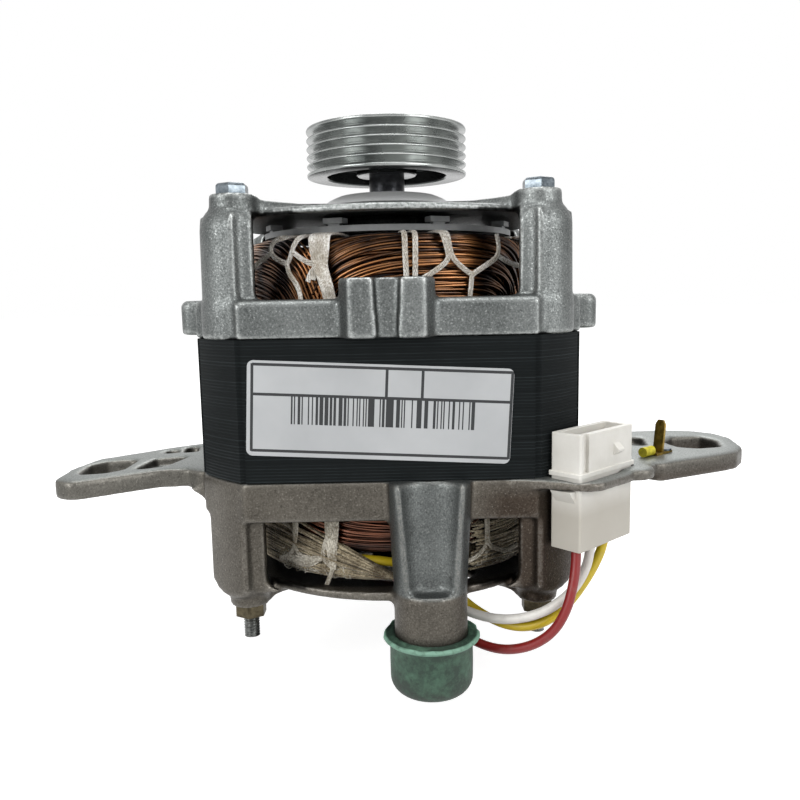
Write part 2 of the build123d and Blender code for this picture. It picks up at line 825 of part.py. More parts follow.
def lowerRib():
    reach = boltPitchHalf * 2 ** 0.5
    high = lowerPlateTop - lowerPlateDrop
    low = lowerPlateBase - lowerPlateDrop
    inner = (bearingOuter + housingRadius) / 2
    profile = make_face(Polyline(
        (inner, high), (inner, low - castRound), ((housingRadius + reach) / 2, lowerPlateBase - castRound),
        (reach - bossRadius / 2, lowerSeat + castRound), (reach, lowerSeat + castRound),
        (reach, lowerPlateBase), (plateRadius - ribWidth, lowerPlateTop - castRound), close=True))
    return extrude(Plane.XZ * profile, amount=ribWidth / 2, both=True)


# Bearings

def torusCut(base):
    """The space that the balls sweep, with the race clearance."""
    return Pos(0, 0, base + bearingWidth / 2) * Torus(ballCircle, ballRadius + raceGap)


def makeInnerRace(base):
    return ring(innerLand, bearingBore, base, bearingWidth) - torusCut(base)


def makeOuterRace(base):
    return ring(bearingOuter, outerLand, base, bearingWidth) - torusCut(base)


def makeBalls(base):
    height = base + bearingWidth / 2
    balls = []
    for k in range(ballCount):
        balls.append(Pos(*polar(ballCircle, 360 * k / ballCount), height) * Sphere(ballRadius))
    return Compound(children=balls)


def makeBallCage(base):
    cage = ring(cageOuter, cageInner, base + (bearingWidth - cageWidth) / 2, cageWidth)
    height = base + bearingWidth / 2
    pocket = Pos(ballCircle, 0, height) * Rot(0, 90, 0) * Cylinder(ballRadius + cagePocketGap, 2 * ballRadius)
    for k in range(ballCount):
        cage -= Rot(0, 0, 360 * k / ballCount) * pocket
    return cage


def makeSeals(base):
    seal = ring(outerLand, innerLand + sealGap, 0, sealWall)
    low = Pos(0, 0, base + sealInset) * seal
    high = Pos(0, 0, base + bearingWidth - sealInset - sealWall) * seal
    return Compound(children=[low, high])


# Rotor

def makeShaft():
    tail = lowerBearingBase + shaftTailGap
    neck = upperBearingBase
    foot = lowerBearingBase + bearingWidth
    return turned([
        (0, tail), (bearingBore - shaftChamfer, tail), (bearingBore, tail + shaftChamfer), (bearingBore, foot),
        (shaftMiddleRadius, foot), (shaftMiddleRadius, neck), (bearingBore, neck),
        (bearingBore, shaftTop - shaftChamfer), (bearingBore - shaftChamfer, shaftTop), (0, shaftTop),
    ])


def barPlaces():
    return [polar(barCircle, 360 * k / barCount) for k in range(barCount)]


def makeRotorCore():
    plan = Circle(stackBore - airGap) - Circle(shaftMiddleRadius)
    for x, y in barPlaces():
        plan -= Pos(x, y) * Circle(barRadius + barFit)
    return Pos(0, 0, stackBase) * extrude(plan, amount=stackHeight)


def makeRotorCage():
    cage = ring(endRingOuter, endRingInner, stackTop, endRingHeight)
    cage += ring(endRingOuter, endRingInner, stackBase - endRingHeight, endRingHeight)
    for x, y in barPlaces():
        cage += Pos(x, y, stackBase) * extrude(Circle(barRadius), amount=stackHeight)
    return cage


def makeFan():
    bandTop = fanBandBase + fanWall
    fan = turned([
        (shaftMiddleRadius, fanHubBase), (fanHubRadius, fanHubBase), (fanHubRadius, fanCupFloor),
        (fanCupRadius, fanCupFloor), (fanCupRadius, fanBandBase), (fanRadius, fanBandBase),
        (fanRadius, bandTop), (fanCupRadius - fanWall, bandTop), (fanCupRadius - fanWall, fanCupFloor + fanWall),
        (fanHubRadius, fanCupFloor + fanWall), (fanHubRadius, fanHubBase + fanHubHeight),
        (shaftMiddleRadius, fanHubBase + fanHubHeight),
    ])
    middle = fanRadius - fanTabDepth / 2
    low = (Align.CENTER, Align.CENTER, Align.MIN)
    stem = Pos(middle, 0, bandTop - fanWall / 2) * Box(
        fanTabDepth - fanWall, fanStemWidth, fanTabTop - bandTop, align=low)
    cap = Pos(middle, 0, fanTabTop - fanTabCap) * Box(fanTabDepth, fanTabWidth, fanTabCap, align=low)
    for k in range(fanTabCount):
        fan += Rot(0, 0, 360 * (k + 0.5) / fanTabCount) * (stem + cap)
    return fan


def makePulley():
    base = pulleyTop - pulleyWidth
    firstRidge = (pulleyTop + base + grooveCount * groovePitch) / 2
    points = [
        (pulleyRimInner, pulleyTop), (pulleyRadius - ridgeFlat / 2, pulleyTop),
        (pulleyRadius, pulleyTop - ridgeFlat / 2),
    ]
    for k in range(grooveCount):
        ridge = firstRidge - k * groovePitch
        middle = ridge - groovePitch / 2
        points.append((pulleyRadius, ridge - ridgeFlat / 2))
        points.append((pulleyRadius - grooveDepth, middle + grooveFloor / 2))
        points.append((pulleyRadius - grooveDepth, middle - grooveFloor / 2))
        points.append((pulleyRadius, ridge - groovePitch + ridgeFlat / 2))
    points += [
        (pulleyRadius, base + ridgeFlat / 2), (pulleyRadius - ridgeFlat / 2, base), (pulleyRimInner, base),
        (pulleyRimInner, pulleyWebBase), (pulleyHubRadius, pulleyWebBase), (pulleyHubRadius, pulleyHubBase),
        (bearingBore, pulleyHubBase), (bearingBore, shaftTop), (pulleyHubRadius, shaftTop),
        (pulleyHubRadius, pulleyWebBase + pulleyWebWall), (pulleyRimInner, pulleyWebBase + pulleyWebWall),
    ]
    return turned(points)


# Fasteners

def hexagon():
    return RegularPolygon(hexFlats / 2, 6, major_radius=False, rotation=hexTurn)


def makeBolts():
    head = extrude(hexagon(), amount=boltHeadHeight)
    head = chamfer(head.edges().group_by(Axis.Z)[-1], boltHeadChamfer)
    shank = Pos(0, 0, boltEnd - upperSeat) * extrude(Circle(boltRadius), amount=upperSeat - boltEnd)
    shank = chamfer(shank.edges().group_by(Axis.Z)[0], boltHeadChamfer)
    bolt = Pos(boltPitchHalf, boltPitchHalf, upperSeat) * (head + shank)
    return Compound(children=atCorners(bolt))


def makeNuts():
    nut = extrude(hexagon() - Circle(boltRadius + threadGap), amount=nutHeight)
    return Compound(children=atCorners(Pos(boltPitchHalf, boltPitchHalf, nutBase) * nut))


# Cap, label, connector and earth tab

def makeCap():
    bore = legRadius + capFit
    outer = legRadius + capWall
    bottom = legEnd - capFloor
    shell = disc(outer, bottom, capTop - bottom)
    shell = fillet(shell.edges().group_by(Axis.Z)[0], capRound)
    shell += turned([
        (bore, capTop), (capFlangeRadius, capTop), (capFlangeRadius, capTop - capFlangeHeight / 2),
        (bore, capTop - capFlangeHeight),
    ])
    shell -= disc(bore, legEnd, capTop - legEnd + overrun)
    return Pos(legX, legY, 0) * shell


def makeLabel():
    face = RectangleRounded(labelWidth, labelHeight, labelRound)
    sheet = extrude(Plane.XZ * face, amount=labelThickness)
    return Pos(labelX, -stackHalf, labelZ) * Rot(0, -labelTilt, 0) * sheet


def connectorPlace():
    return Pos(connectorX, connectorY, 0) * Rot(0, 0, connectorAngle)


def wayOffsets():
    return [(k - (wayCount - 1) / 2) * wayPitch for k in range(wayCount)]


def makeConnector():
    low = (Align.CENTER, Align.CENTER, Align.MIN)
    plan = RectangleRounded(connectorLength, connectorWidth, connectorRound)
    shell = Pos(0, 0, connectorBase) * extrude(plan, amount=connectorTop - connectorBase)
    foot = RectangleRounded(connectorLength + 2 * footReach, connectorWidth + footReach, connectorRound)
    shell += Pos(0, 0, earThickness + padHeight) * extrude(foot, amount=footHeight)
    keyBase = earThickness + padHeight + footHeight
    key = Pos(keyInset + keyWidth / 2 - connectorLength / 2, keyDepth / 2 - connectorWidth / 2, keyBase) * Box(
        keyWidth, keyDepth, connectorTop - keyBase + overrun, align=low)
    shell -= key
    latch = make_face(Polyline((0, 0), (-latchReach, latchHeight / 3), (-latchReach, latchHeight / 2),
                               (0, latchHeight), close=True))
    wedge = extrude(Plane.YZ * latch, amount=latchWidth)
    shell += Pos(latchAt, -connectorWidth / 2, latchZ) * wedge
    wingTop = earThickness - flangeThickness - connectorFit
    wing = make_face(Polyline((0, wingTop), (wingReach, wingTop), (0, wingTop - wingHeight), close=True))
    plate = extrude(Plane.XZ * wing, amount=connectorWidth / 3, both=True)
    shell += Pos(connectorLength / 2, 0, 0) * plate
    shell += Pos(-connectorLength / 2, 0, 0) * Rot(0, 0, 180) * plate
    socket = RectangleRounded(connectorLength - 2 * socketWall, connectorWidth - 2 * socketWall, connectorRound)
    shell -= Pos(0, 0, socketFloor) * extrude(socket, amount=connectorTop - socketFloor + overrun)
    slit = Rectangle(bladeWidth + 2 * bladeGap, bladeThickness + 2 * bladeGap)
    for offset in wayOffsets():
        cavity = Box(cavityWidth, cavityWidth, cavityTop - connectorBase + overrun, align=low)
        shell -= Pos(offset, 0, connectorBase - overrun) * cavity
        shell -= Pos(offset, 0, cavityTop - overrun) * extrude(slit, amount=socketFloor - cavityTop + 2 * overrun)
    return connectorPlace() * shell


def makeTerminals():
    low = (Align.CENTER, Align.CENTER, Align.MIN)
    start = connectorBase + leadSeat
    terminals = []
    for offset in wayOffsets():
        barrel = Cylinder(barrelRadius, barrelTop - start, align=low)
        blade = Pos(0, 0, barrelTop - start) * Box(bladeWidth, bladeThickness, bladeTop - barrelTop, align=low)
        terminals.append(connectorPlace() * Pos(offset, 0, start) * (barrel + blade))
    return Compound(children=terminals)


def earthPlace():
    return Pos(earthX, earthY, earThickness) * Rot(0, 0, earthAngle)


def rivetHole():
    depth = earThickness + 2 * overrun
    return Pos(rivetAt, 0, -earThickness - overrun) * extrude(Circle(rivetRadius), amount=depth)


def makeEarthTab():
    low = (Align.CENTER, Align.CENTER, Align.MIN)
    plate = Box(earthPlateLength, earthPlateWidth, earthPlateThickness, align=low)
    plate -= rivetHole()
    profile = make_face(Polyline(
        (-earthTabWidth / 2, 0), (earthTabWidth / 2, 0), (earthTabWidth / 2, earthTabHeight - earthTabTip),
        (earthTabWidth / 4, earthTabHeight), (-earthTabWidth / 4, earthTabHeight),
        (-earthTabWidth / 2, earthTabHeight - earthTabTip), close=True))
    tab = extrude(Plane.YZ * profile, amount=earthTabThickness / 2, both=True)
    tab = Pos(-earthTabAt, 0, earthPlateThickness / 4) * Rot(0, earthLean, 0) * tab
    return earthPlace() * (plate + tab)


def makeEarthRivet():
    shank = Pos(0, 0, -earThickness) * extrude(Circle(rivetRadius), amount=earThickness + earthPlateThickness)
    heads = Pos(0, 0, earthPlateThickness) * extrude(Circle(rivetHeadRadius), amount=rivetHeadHeight)
    heads += Pos(0, 0, -earThickness) * extrude(Circle(rivetHeadRadius), amount=-rivetHeadHeight)
    return earthPlace() * Pos(rivetAt, 0, 0) * (shank + heads)


def makeEarthSleeve():
    barrel = Plane.YZ * Circle(sleeveRadius)
    sleeve = extrude(barrel, amount=-sleeveLength)
    return earthPlace() * Pos(-earthPlateLength / 2, 0, sleeveRadius) * sleeve


def makePreloadWasher():
    return ring(bearingOuter - castRound / 4, preloadInner, upperBearingBase + bearingWidth, preloadWall)


# Build every piece and write it

upperWallLength = upperCoilHeight - 2 * coilRound
lowerWallLength = lowerCoilHeight - 2 * coilRound
upperTube, upperPath = woundWire(upperTurns, upperWallLength)
lowerTube, lowerPath = woundWire(lowerTurns, lowerWallLength)
bundleCover = 2 * bundleRadius + bundleGap
wireCover = wireDiameter + wireSeatGap
upperLace, upperLacePath = makeLace(upperCoilBase, upperCoilTop, wireCover, upperLaceLoops, 1)
lowerLace, lowerLacePath = makeLace(lowerCoilTop, lowerCoilBase, wireCover + bundleCover, lowerLaceLoops, -1)

nodes = {
    "upper_end_shield": makeUpperShield(),
    "lower_end_shield": makeLowerShield(),
    "stator_core": makeStatorCore(),
    "slot_liners": makeSlotLiners(),
    "winding_core": makeWindingCore(),
    "upper_winding_turns": Pos(0, 0, upperCoilBase + coilRound) * upperTube,
    "lower_winding_turns": Pos(0, 0, lowerCoilTop - coilRound) * mirror(lowerTube, about=Plane.XY),
    "upper_lacing": upperLace,
    "lower_lacing": lowerLace,
    "lead_joint_sleeve": makeBundle(),
    "through_bolts": makeBolts(),
    "lock_nuts": makeNuts(),
    "upper_bearing_outer_race": makeOuterRace(upperBearingBase),
    "upper_bearing_inner_race": makeInnerRace(upperBearingBase),
    "upper_bearing_balls": makeBalls(upperBearingBase),
    "upper_ball_cage": makeBallCage(upperBearingBase),
    "upper_bearing_seals": makeSeals(upperBearingBase),
    "lower_bearing_outer_race": makeOuterRace(lowerBearingBase),
    "lower_bearing_inner_race": makeInnerRace(lowerBearingBase),
    "lower_bearing_balls": makeBalls(lowerBearingBase),
    "lower_ball_cage": makeBallCage(lowerBearingBase),
    "lower_bearing_seals": makeSeals(lowerBearingBase),
    "preload_washer": makePreloadWasher(),
    "shaft": makeShaft(),
    "rotor_core": makeRotorCore(),
    "rotor_cage": makeRotorCage(),
    "cooling_fan": makeFan(),
    "pulley": makePulley(),
    "bumper_cap": makeCap(),
    "blank_label": makeLabel(),
    "connector_housing": makeConnector(),
    "connector_terminals": makeTerminals(),
    "earth_tab": makeEarthTab(),
    "earth_rivet": makeEarthRivet(),
    "earth_sleeve": makeEarthSleeve(),
    "lead_white": leadTube("lead_white", leadWhiteRoute),
    "lead_red": leadTube("lead_red", leadRedRoute),
    "lead_yellow": leadTube("lead_yellow", leadYellowRoute),
}

os.makedirs("parts", exist_ok=True)
for name, shape in nodes.items():
    export_step(shape, "parts/" + name + ".step")

print("upper lacing gap", round(leastGap(upperLacePath, laceDiameter, coilOuter, 40 * upperLaceLoops), 2))
print("lower lacing gap", round(leastGap(lowerLacePath, laceDiameter, coilOuter, 40 * lowerLaceLoops), 2))
print("upper winding gap", round(leastGap(upperPath, wireDiameter, coilOuter, 24 * upperTurns), 2))
print("lower winding gap", round(leastGap(lowerPath, wireDiameter, coilOuter, 24 * lowerTurns), 2))
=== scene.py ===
import bpy
import bmesh
import math
import random
from mathutils import Matrix, Vector


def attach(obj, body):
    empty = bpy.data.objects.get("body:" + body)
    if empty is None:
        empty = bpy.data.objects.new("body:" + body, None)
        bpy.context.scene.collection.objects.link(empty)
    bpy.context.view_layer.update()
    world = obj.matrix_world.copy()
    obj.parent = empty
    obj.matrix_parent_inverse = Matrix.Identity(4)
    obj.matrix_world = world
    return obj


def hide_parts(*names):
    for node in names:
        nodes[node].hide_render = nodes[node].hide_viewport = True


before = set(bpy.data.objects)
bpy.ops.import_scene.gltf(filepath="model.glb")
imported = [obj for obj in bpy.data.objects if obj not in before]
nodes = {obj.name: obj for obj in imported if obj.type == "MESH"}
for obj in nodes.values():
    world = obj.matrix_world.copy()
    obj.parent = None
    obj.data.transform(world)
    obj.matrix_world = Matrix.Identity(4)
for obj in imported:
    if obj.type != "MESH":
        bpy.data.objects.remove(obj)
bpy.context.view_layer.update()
mm = 0.001
print("frame loaded,", len(nodes), "nodes")


def addObject(name, data):
    thing = bpy.data.objects.new(name, data)
    bpy.context.scene.collection.objects.link(thing)
    return thing


# Camera, at the photograph's place

camera = {"place": (2.57, -230.2, 49.23), "pitch": 0.135, "roll": 0.019, "lens": 35.38, "sensor": 36,
          "near": 0.01}


def makeCamera():
    data = bpy.data.cameras.new("photoCamera")
    data.lens = camera["lens"]
    data.sensor_width = camera["sensor"]
    data.sensor_fit = "HORIZONTAL"
    data.clip_start = camera["near"]
    eye = addObject("photoCamera", data)
    turn = Matrix.Rotation(math.pi / 2 - camera["pitch"], 4, "X") @ Matrix.Rotation(-camera["roll"], 4, "Z")
    eye.matrix_world = Matrix.Translation(Vector(camera["place"]) * mm) @ turn
    bpy.context.scene.camera = eye


makeCamera()
bpy.context.scene.view_settings.view_transform = "Standard"


# Small helpers

weld = {"cad": 0.002, "spun": 0.001}


def hexColour(text):
    def linear(value):
        return value / 12.92 if value <= 0.04045 else ((value + 0.055) / 1.055) ** 2.4
    return tuple(linear(int(text[i:i + 2], 16) / 255) for i in (1, 3, 5)) + (1.0,)


def feed(tree, source, socket):
    # source is a value, a hex colour, an output, or a node, which then gives its first output in use
    if isinstance(source, bpy.types.Node):
        source = next(output for output in source.outputs if output.enabled)
    if isinstance(source, bpy.types.NodeSocket):
        tree.links.new(source, socket)
    else:
        socket.default_value = hexColour(source) if isinstance(source, str) else source


def addNode(tree, kind, links=(), **settings):
    # links hold the source of each input, in order or by its number or name
    node = tree.nodes.new("ShaderNode" + kind)
    for name, value in settings.items():
        setattr(node, name, value)
    for socket, source in (links if isinstance(links, dict) else dict(enumerate(links))).items():
        feed(tree, source, node.inputs[socket])
    return node


def startMaterial(name, values, noises=()):
    # noises hold the size of the grain in millimetres, the detail and the roughness of each
    material = bpy.data.materials.new(name)
    material.use_nodes = True
    tree = material.node_tree
    for socket, value in values.items():
        feed(tree, value, tree.nodes["Principled BSDF"].inputs[socket])
    place = addNode(tree, "TexCoord").outputs["Object"]
    made = []
    for size, detail, rough in noises:
        made.append(addNode(tree, "TexNoise", {
            "Vector": place, "Scale": 1 / (size * mm), "Detail": detail, "Roughness": rough,
        }))
    return material, tree, place, *made


def finishMaterial(material, colour, height=None, strength=0.0, depth=0.0, roughness=None):
    # the colour goes to the shader, with a bump, its depth in millimetres, and a roughness that varies
    tree = material.node_tree
    inputs = tree.nodes["Principled BSDF"].inputs
    feed(tree, colour, inputs["Base Color"])
    if roughness is not None:
        feed(tree, roughness, inputs["Roughness"])
    if height is not None:
        bump = addNode(tree, "Bump", {"Height": height, "Strength": strength, "Distance": depth * mm})
        feed(tree, bump, inputs["Normal"])
    return material


def dress(thing, material):
    thing.data.materials.clear()
    thing.data.materials.append(material)


def addPiece(name, mesh, body, material, replaced=(), smooth=True):
    piece = addObject(name, mesh)
    mesh.shade_smooth() if smooth else mesh.shade_flat()
    dress(piece, material)
    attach(piece, body)
    if replaced:
        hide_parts(*replaced)
    print(name, "triangles", sum(len(p.vertices) - 2 for p in mesh.polygons))


def meshFrom(shape, name):
    mesh = bpy.data.meshes.new(name)
    shape.normal_update()
    shape.to_mesh(mesh)
    shape.free()
    return mesh


def joinShape(shape, added, name):
    mesh = meshFrom(added, name)
    shape.from_mesh(mesh)
    bpy.data.meshes.remove(mesh)


def finished(name, data, modifiers=()):
    # a curve or mesh with its modifiers applied, as a new mesh
    holder = addObject(name, data)
    for kind, settings in modifiers:
        modifier = holder.modifiers.new(kind.lower(), kind)
        for key, value in settings.items():
            setattr(modifier, key, value)
    graph = bpy.context.evaluated_depsgraph_get()
    made = bpy.data.meshes.new_from_object(holder.evaluated_get(graph))
    made.name = name
    bpy.data.objects.remove(holder)
    return made


def mergedCopy(node):
    shape = bmesh.new()
    shape.from_mesh(nodes[node].data)
    bmesh.ops.remove_doubles(shape, verts=shape.verts, dist=weld["cad"] * mm)
    return shape


def roundEdges(shape, edges, width, segments):
    bmesh.ops.bevel(shape, geom=edges, offset=width * mm, offset_type="OFFSET", segments=segments,
                    profile=0.5, affect="EDGES", clamp_overlap=True, material=-1)


def sharpen(mesh, angle):
    # edges over the angle stay sharp under smooth shading
    shape = bmesh.new()
    shape.from_mesh(mesh)
    for edge in shape.edges:
        edge.smooth = edge.calc_face_angle(0) < math.radians(angle)
    shape.to_mesh(mesh)
    shape.free()


def spun(profile, steps, centre=(0, 0, 0)):
    # a closed (radius, height) profile turned about Z, lengths in millimetres
    shape = bmesh.new()
    verts = [shape.verts.new((r * mm, 0, z * mm)) for r, z in profile]
    edges = [shape.edges.new((verts[k - 1], verts[k])) for k in range(len(verts))]
    bmesh.ops.spin(shape, geom=verts + edges, cent=(0, 0, 0), axis=(0, 0, 1), angle=2 * math.pi,
                   steps=steps, use_merge=True)
    bmesh.ops.remove_doubles(shape, verts=shape.verts, dist=weld["spun"] * mm)
    bmesh.ops.recalc_face_normals(shape, faces=shape.faces)
    bmesh.ops.translate(shape, verts=shape.verts, vec=Vector(centre) * mm)
    return shape


def roundCords(name, routes, diameter, sides, steps, unit):
    # a curve of round cords along smooth splines, from points in the unit
    curve = bpy.data.curves.new(name, "CURVE")
    curve.dimensions = "3D"
    curve.bevel_depth = diameter / 2 * unit
    curve.bevel_resolution = sides
    curve.use_fill_caps = True
    curve.resolution_u = steps
    for route in routes:
        spline = curve.splines.new("NURBS")
        spline.points.add(len(route) - 1)
        for point, place in zip(spline.points, route):
            point.co = (place[0] * unit, place[1] * unit, place[2] * unit, 1)
        spline.order_u = 3
        spline.use_endpoint_u = True
    return curve


def tubes(name, routes, diameter, sides=1):
    # round strands as one mesh, in millimetres
    return finished(name, roundCords(name, routes, diameter, sides, 3, mm))


def onRing(radius, angle, height):
    turn = math.radians(angle)
    return radius * math.cos(turn), radius * math.sin(turn), height


# Motor leads, first as the free cords; the points are the part's own routes in metres

leads = {
    "diameter": 0.0024, "sides": 5, "steps": 16, "handled": "#6f675c",
    "white": [
        (-0.0095, -0.0366, -0.0173), (-0.0042, -0.0366, -0.0186), (0.0020, -0.0350, -0.0218),
        (0.0082, -0.0334, -0.0266), (0.0144, -0.0344, -0.0308), (0.0214, -0.0382, -0.0330),
        (0.0290, -0.0424, -0.0326), (0.0368, -0.0450, -0.0298), (0.0432, -0.0452, -0.0252),
        (0.0472, -0.0436, -0.0204), (0.0492, -0.0416, -0.0156), (0.04955, -0.0410, -0.0104),
    ],
    "red": [
        (-0.0088, -0.0346, -0.0193), (-0.0040, -0.0338, -0.0208), (0.0010, -0.0322, -0.0246),
        (0.0058, -0.0312, -0.0298), (0.0116, -0.0322, -0.0352), (0.0184, -0.0362, -0.0396),
        (0.0260, -0.0412, -0.0410), (0.0332, -0.0452, -0.0386), (0.0388, -0.0478, -0.0338),
        (0.0420, -0.0488, -0.0274), (0.0438, -0.0478, -0.0208), (0.0447, -0.0462, -0.0154),
        (0.0448, -0.04543, -0.0104),
    ],
    "yellow": [
        (-0.0084, -0.0393, -0.0169), (-0.0026, -0.0389, -0.0176), (0.0040, -0.0367, -0.0196),
        (0.0104, -0.0332, -0.0238), (0.0164, -0.0322, -0.0294), (0.0226, -0.0352, -0.0338),
        (0.0298, -0.0402, -0.0354), (0.0368, -0.0428, -0.0338), (0.0429, -0.0424, -0.0294),
        (0.0477, -0.0406, -0.0242), (0.0514, -0.0386, -0.0192), (0.0536, -0.0371, -0.0148),
        (0.0543, -0.03657, -0.0104),
    ],
    "lengths": {"white": 0.0783, "red": 0.0856, "yellow": 0.0847},
    "colours": {"white": "#dad7d1", "red": "#7e1010", "yellow": "#c6ad1c"},
}


def leadSkin(name, colour):
    # soft PVC insulation: even colour under a slight sheen, with handling marks about 3 mm long
    material, tree, _, marks = startMaterial(name, {"Roughness": 0.42, "IOR": 1.53}, [(3, 4, 0.5)])
    dirty = addNode(tree, "MapRange", [marks, 0.56, 0.80, 0.0, 0.25])
    shade = addNode(tree, "Mix", {0: dirty, 6: colour, 7: leads["handled"]}, data_type="RGBA")
    return finishMaterial(material, shade, marks, 0.25, 0.1)


def makeLead(colour):
    name = "lead" + colour.capitalize()
    curve = roundCords(name, [leads[colour]], leads["diameter"], leads["sides"], leads["steps"], 1)
    lead = addObject(name, curve)
    curve.materials.append(leadSkin(colour + "PvcInsulation", leads["colours"][colour]))
    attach(lead, "stator")
    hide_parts("lead_" + colour)


for colour in ("white", "red", "yellow"):
    makeLead(colour)
print("leads made")


# Die castings

castings = {
    "upper": {
        "deep": "#454847", "face": "#787b7a", "wornAndGlint": "#c4c7c5", "pit": "#2d3030", "contrast": 0.32,
        "glint": 0.32, "wearAndHighlight": 0.62, "voxel": 0.66, "regions": [],
        # rounded corners of the windows: level, way up or down, radius, and on how many sides
        "half": 31.2, "wall": (40.9, 43.1), "coves": [(48.2, 1, 1.32, 4)],
        # upright fillets beside the columns: low, high, their flat, 1 outward or -1 inward, radius
        "valleys": [(48.4, 68.6, 43.1, -1, 2.2), (39.2, 48.0, 45.3, 1, 2.2)],
        # the bearing dome's turned outside
        "dome": [(19.0, 71.2), (18.9, 72.8), (18.3, 73.9), (17.0, 74.9), (15.2, 75.8), (13.2, 76.35),
                 (11.0, 76.5), (9.4, 76.4), (9.4, 71.2)],
    },
    "lower": {
        # the lower casting's shades are painted darker than the upper one's, as painted shade for the less
        # light it gets
        "deep": "#3b3833", "face": "#625e57", "wornAndGlint": "#aaa69f", "pit": "#272422", "contrast": 0.26,
        "glint": 0.16, "wearAndHighlight": 0.26, "voxel": 0.73, "regions": [
            # each region: the ramps that bound it, as (measure, from, to, most), and its two shades
            # the ears are greyer and more even than the housing, and their level tops smooth and painted
            # paler, as painted light from above
            ([("side", 47, 51, 0.8)], "#4c4b46", "#696762"),
            ([("facing", 0.6, 0.95, 0.85), ("z", 0, 1.5, 1)], "#6e7270", "#8f9391"),
            # the post behind the leads is brown with old oil, and painted darker still as the connector's
            # painted shadow
            ([("x", 17, 27, 0.75), ("z", 5, 0, 1)], "#241b15", "#3a2f27"),
            # the leg's hollow front was blasted again after casting, so it is free of the brown skin
            ([("x", -0.5, -0.3, 1), ("x", 18.9, 18.7, 1), ("y", -42, -44.5, 0.9), ("z", -22.8, -22.0, 1)],
             "#3d4040", "#707473"),
            # the ring at the foot is darker
            ([("reach", 43.2, 42.4, 1), ("z", -24.4, -25.2, 0.85)], "#1b1a19", "#353330"),
        ],
        "half": 31.2, "wall": (41.5, 43.7), "coves": [(-5.0, -1, 1.32, 4), (-23.2, 1, 3.2, 1)],
        "valleys": [(-23.0, -5.2, 43.8, -1, 2.6), (-4.8, 4.8, 46.4, 1, 1.1)],
        "dome": [],
    },
    "noises": {"grain": (0.42, 2, 0.55), "pit": (0.80, 2, 0.6), "cloud": (17, 3, 0.5)},
    "grainDepth": 0.07, "inside": 40.6, "domeFoot": 72.4, "domeSteps": 96, "domeRoughness": 0.60,
    "valley": 35.3, "lap": 0.8, "coveSteps": 6, "smoothing": 6,
}


